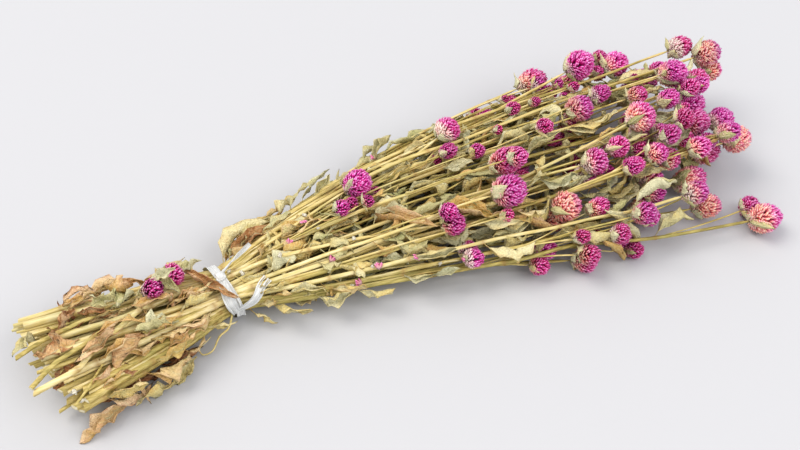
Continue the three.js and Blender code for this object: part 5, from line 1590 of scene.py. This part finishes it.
draw = draws_from(AGE_SEED)
for stem in stems:
    faded = [age for x, y, age in FADED_HEADS if math.dist(stem["head"][:2], (x, y)) < 9]
    stem["age"] = faded[0] if faded else between((-0.25, 0.4), next(draw))
    stem["pale"] = sum(share for x, y, share in PALE_HEADS if math.dist(stem["head"][:2], (x, y)) < 3)
for thin in thin_stems:
    if thin["young"]:
        thin["young"]["age"] = between((-0.25, 0.5), next(draw))
nodes_made = 0
for number, stem in enumerate(stems):
    if stem["parent"] >= 0 and not stem["alone"]:
        continue
    nodes_made += 1
    twins = [(n, other) for n, other in enumerate(stems)
             if other["parent"] == number and not other["alone"]]
    piece = make_heads(f"head_{nodes_made:02}_bracts", [(number, stem), *twins])
    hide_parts(f"head_{nodes_made:02}")
make_heads("young_heads", [
    (YOUNG_HEAD_SEED + n, thin["young"]) for n, thin in enumerate(thin_stems) if thin["young"]])

# Small bits that were shed and caught on the stems: white woolly florets, and pink bracts that broke off
# the heads. Each is shown larger than life, as small ones would vanish.
WOOLLY_FLORETS = [
    (5, 4), (13, -2), (41, -3), (68, 23), (93, -11), (98, -33), (21, -20), (81, -36), (-48, -20),
    (-109, -54), (-106, -60), (73, 7), (145, -45), (118, 20),
]
FLORET_SIZE = (2.3, 1.5, 1.1)
BROKEN_BRACTS = [
    (53, -20), (102, -36), (88, -37), (65, 19), (113, 50), (139, 62), (131, -38), (-68, 18), (160, -48),
    (72, -19), (49, 4),
]
BRACTS_IN_BIT = 9
BROKEN_BRACT_LENGTH = 5.4
BITS_SEED = 606
BROKEN_SHADE = 1.1

# Wool of the florets: off-white, matt and loose.
woolly_floret, surface = new_material("woolly_floret")
coordinates = add_node(woolly_floret, "ShaderNodeTexCoord")
wool = add_node(woolly_floret, "ShaderNodeTexNoise", {"Vector": coordinates.outputs["Object"]},
                Scale=1500.0, Detail=4.0)
wool_colour = add_node(woolly_floret, "ShaderNodeValToRGB", {"Fac": wool.outputs["Fac"]}, stops=[
    (0.35, "b7af9a"), (0.65, "ebe5d6")])
bump = add_node(woolly_floret, "ShaderNodeBump", {"Height": wool.outputs["Fac"]},
                Strength=1.0, Distance=0.0006)
join(surface, {
    "Base Color": wool_colour.outputs["Color"], "Roughness": 0.9, "Normal": bump.outputs["Normal"]})

draw = draws_from(BITS_SEED)
grown = bmesh.new()
for x, y in WOOLLY_FLORETS:
    tuft = bmesh.ops.create_icosphere(grown, subdivisions=3, radius=1)["verts"]
    seed = Vector((x, y, 0))
    for vert in tuft:
        vert.co *= 0.6 + 0.8 * abs(noise.noise(vert.co * 1.7 + seed)) + 0.5 * noise.noise(vert.co * 4 + seed)
    size = Matrix.Diagonal((*(edge * between((0.7, 1.25), next(draw)) for edge in FLORET_SIZE), 1))
    spin = Matrix.Rotation(ANY_TURN * next(draw), 4, "Z") @ Matrix.Rotation(0.8 * next(draw), 4, "Y")
    place = Matrix.Translation((x, y, max(2.0, top_at(x, y) + 1.4)))
    bmesh.ops.transform(grown, verts=tuft, matrix=place @ spin @ size)
make_piece(grown, "woolly_florets", [woolly_floret])

grown = bmesh.new()
across_bract, over_bract, up_bract = bract_points.T[..., None]
for x, y in BROKEN_BRACTS:
    lying = ANY_TURN * next(draw)
    for _ in range(BRACTS_IN_BIT):
        turn = lying + between((-0.8, 0.8), next(draw))
        long_way = np.array([math.cos(turn), math.sin(turn), 0.9 * next(draw)])
        aside = unit(np.cross(long_way, (0, 0, 1)))
        points = (np.array([x, y, top_at(x, y) + 1.6]) + BROKEN_BRACT_LENGTH * (up_bract - 0.15) * long_way
                  + BRACT_WIDTH / 2 * (across_bract * aside + over_bract * np.array([0, 0, 1])))
        bract_mesh.vertices.foreach_set("co", points.ravel())
        grown.from_mesh(bract_mesh)
piece = make_piece(grown, "broken_bracts", [papery_bract])
along = np.tile(bract_points[:, 2] + KEEL_PALE * bract_keel, BRACTS_IN_BIT * len(BROKEN_BRACTS))
write_values(piece, (along, along * 0, 1 - along, along * 0 + BROKEN_SHADE, along * 0 + 0.5))

# The tie: one strip of thin translucent plastic film, pulled tight round the stems and knotted on top,
# with a twisted end and a flat one that is frayed.
TAPE_WIDTH = 7.0
TAPE_FLATS = 20
KNOT_TURN = 86
KNOT_SIZE = (4.6, 5.2, 2.3)
FILM_THICKNESS = 0.22
FILM_COLUMNS = 15
FRAY_LENGTH = 9.0
# The outer turn of the tape lies loose over the inner one on the near side: x, angle in degrees, lift.
LOOSE_TURN = [(-2.0, 94, 1.0), (-1.6, 114, 2.0), (-1.8, 136, 3.2), (-1.0, 158, 3.8), (0.2, 176, 2.8),
              (1.2, 190, 0.8)]

# Polythene film: thin, milky and a little see-through, with a soft gloss broken by its pleats. Its
# colour follows the pleats' bumps, greyer in the hollows and whiter on the crests: painted shade and
# painted highlight over its milky white.
tape_film, surface = new_material("white_tape_film")
across = add_node(tape_film, "ShaderNodeAttribute", attribute_name="across")
along_tape = add_node(tape_film, "ShaderNodeAttribute", attribute_name="along")
laid_out = add_node(tape_film, "ShaderNodeCombineXYZ", {
    "X": across.outputs["Fac"], "Y": along_tape.outputs["Fac"]})
stretched = add_node(tape_film, "ShaderNodeMapping", {"Vector": laid_out.outputs["Vector"]},
                     Scale=(1.6, 0.12, 1.0))
pleats = add_node(tape_film, "ShaderNodeTexNoise", {"Vector": stretched.outputs["Vector"]},
                  Scale=1.0, Detail=5.0)
# Painted shade and highlight: grey where the pleats are low, near white where they are high.
film_colour = add_node(tape_film, "ShaderNodeValToRGB", {"Fac": pleats.outputs["Fac"]}, stops=[
    (0.3, "c2c4c5"), (0.5, "dfe0df"), (0.7, "f4f4f2")])
bump = add_node(tape_film, "ShaderNodeBump", {"Height": pleats.outputs["Fac"]},
                Strength=0.8, Distance=0.0008)
join(surface, {
    "Base Color": film_colour.outputs["Color"], "Roughness": 0.28, "IOR": 1.5, "Transmission Weight": 0.2,
    "Normal": bump.outputs["Normal"]})


def tie_corners(clearance):
    """The tape's path round the stems: corners where its flats meet, at a clearance from the stems."""
    step = 2 * math.pi / TAPE_FLATS
    reach = []
    for n in range(TAPE_FLATS):
        x = tie_x(TIE_HALF_WIDTH * math.cos(n * step))
        edges = [reach_at(x + edge, n * step) for edge in (-TAPE_WIDTH / 2, TAPE_WIDTH / 2)]
        reach.append(clearance + max(edges))
    reach[3 * TAPE_FLATS // 4] = TIE_HEIGHT - TAPE_THICKNESS - TAPE_CLEARANCE + clearance
    corners = []
    for n, a in enumerate(reach):
        b = reach[(n + 1) % TAPE_FLATS]
        slide = (b - a * math.cos(step)) / math.sin(step)
        angle = n * step
        corners.append((a * math.cos(angle) - slide * math.sin(angle),
                        a * math.sin(angle) + slide * math.cos(angle) + TIE_HEIGHT))
    return np.array(corners)


def add_ribbon(grown, line, outward, widths, roll, seed, closed=False):
    """A strip of film along a line, gathered into lengthwise pleats."""
    along = np.gradient(line, axis=0)
    if closed:
        along[0] = along[-1] = line[1] - line[-2]
    along = unit_rows(along)
    side = unit_rows(np.cross(along, outward))
    side, face = turned(side, np.cross(side, along), np.linspace(0, roll, len(line))[:, None])
    run = running_length(line)
    width = np.interp(run / run[-1], np.linspace(0, 1, len(widths)), widths)
    share = np.linspace(-1, 1, FILM_COLUMNS)
    pleat = np.array([[noise.noise(Vector((a * 2.6 + seed, r * 0.045, seed))) for a in share] for r in run])
    if closed:
        pleat[-8:] += (pleat[0] - pleat[-1]) * np.linspace(0, 1, 8)[:, None]
    points = (line[:, None] + side[:, None] * (share * width[:, None] / 2)[..., None]
              + face[:, None] * (1.1 * pleat)[..., None])
    add_sheet(grown, points, across=share * width[:, None] / 2, along=run[:, None])
    if closed:
        bmesh.ops.remove_doubles(grown, verts=grown.verts, dist=WELD)
    return run[-1]


grown = bmesh.new()
corners = tie_corners(TAPE_CLEARANCE + TAPE_THICKNESS / 2)
ring = np.column_stack([tie_x(corners[:, 0]), corners])
loop = smooth_line(np.concatenate([ring, ring[:1]]), [6] * TAPE_FLATS)
outward = loop - (0, 0, TIE_HEIGHT)
outward[:, 0] = 0
add_ribbon(grown, loop, unit_rows(outward), (6.4, 6.9, 5.6, 6.2, 6.8, 6.4), 0, 1.0, closed=True)
loose_turn = tail_path(LOOSE_TURN)
for (points, outwards), widths, roll in zip([loose_turn, *tails], (
        (3.4, 6.6, 8.4, 7.6, 5.0), (2.2, 3.8, 3.2), (3.4, 5.8, 6.8)), (0.25, 2.2, 0)):
    steps = [9] * (len(points) - 1)
    length = add_ribbon(grown, smooth_line(points, steps), smooth_line(outwards, steps), widths, roll,
                        2.0 + roll)
layers = [grown.verts.layers.float[name] for name in ("across", "along")]
frayed = []
for face in grown.faces:
    across_face, along_face = (sum(vert[layer] for vert in face.verts) / len(face.verts) for layer in layers)
    on_flat_end = min(vert.co.y for vert in face.verts) < -10 and face.calc_center_median().x > 11
    slit = noise.noise(Vector((across_face * 1.9, 0.3, 7.0)))
    if on_flat_end and along_face > length - FRAY_LENGTH * (0.35 + 1.4 * abs(slit)) and slit > 0.05:
        frayed.append(face)
bmesh.ops.delete(grown, geom=frayed, context="FACES")
knot_at = tail_path([(TIE_X, KNOT_TURN, 0)])[0][0]
knot = bmesh.ops.create_icosphere(grown, subdivisions=4, radius=1)["verts"]
for vert in knot:
    vert.co *= 0.86 + 0.5 * abs(noise.noise(vert.co * Vector((1.2, 3.2, 2.0)).length * 0.45))
bmesh.ops.scale(grown, vec=(KNOT_SIZE[0] * 0.8, KNOT_SIZE[1] * 0.8, KNOT_SIZE[2]), verts=knot)
bmesh.ops.translate(grown, verts=knot, vec=knot_at + (0, 0, TAPE_THICKNESS / 2 + KNOT_SIZE[2] / 2))
piece = make_piece(grown, "tie_film", [tape_film])
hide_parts("tie")
thicken(piece, FILM_THICKNESS)
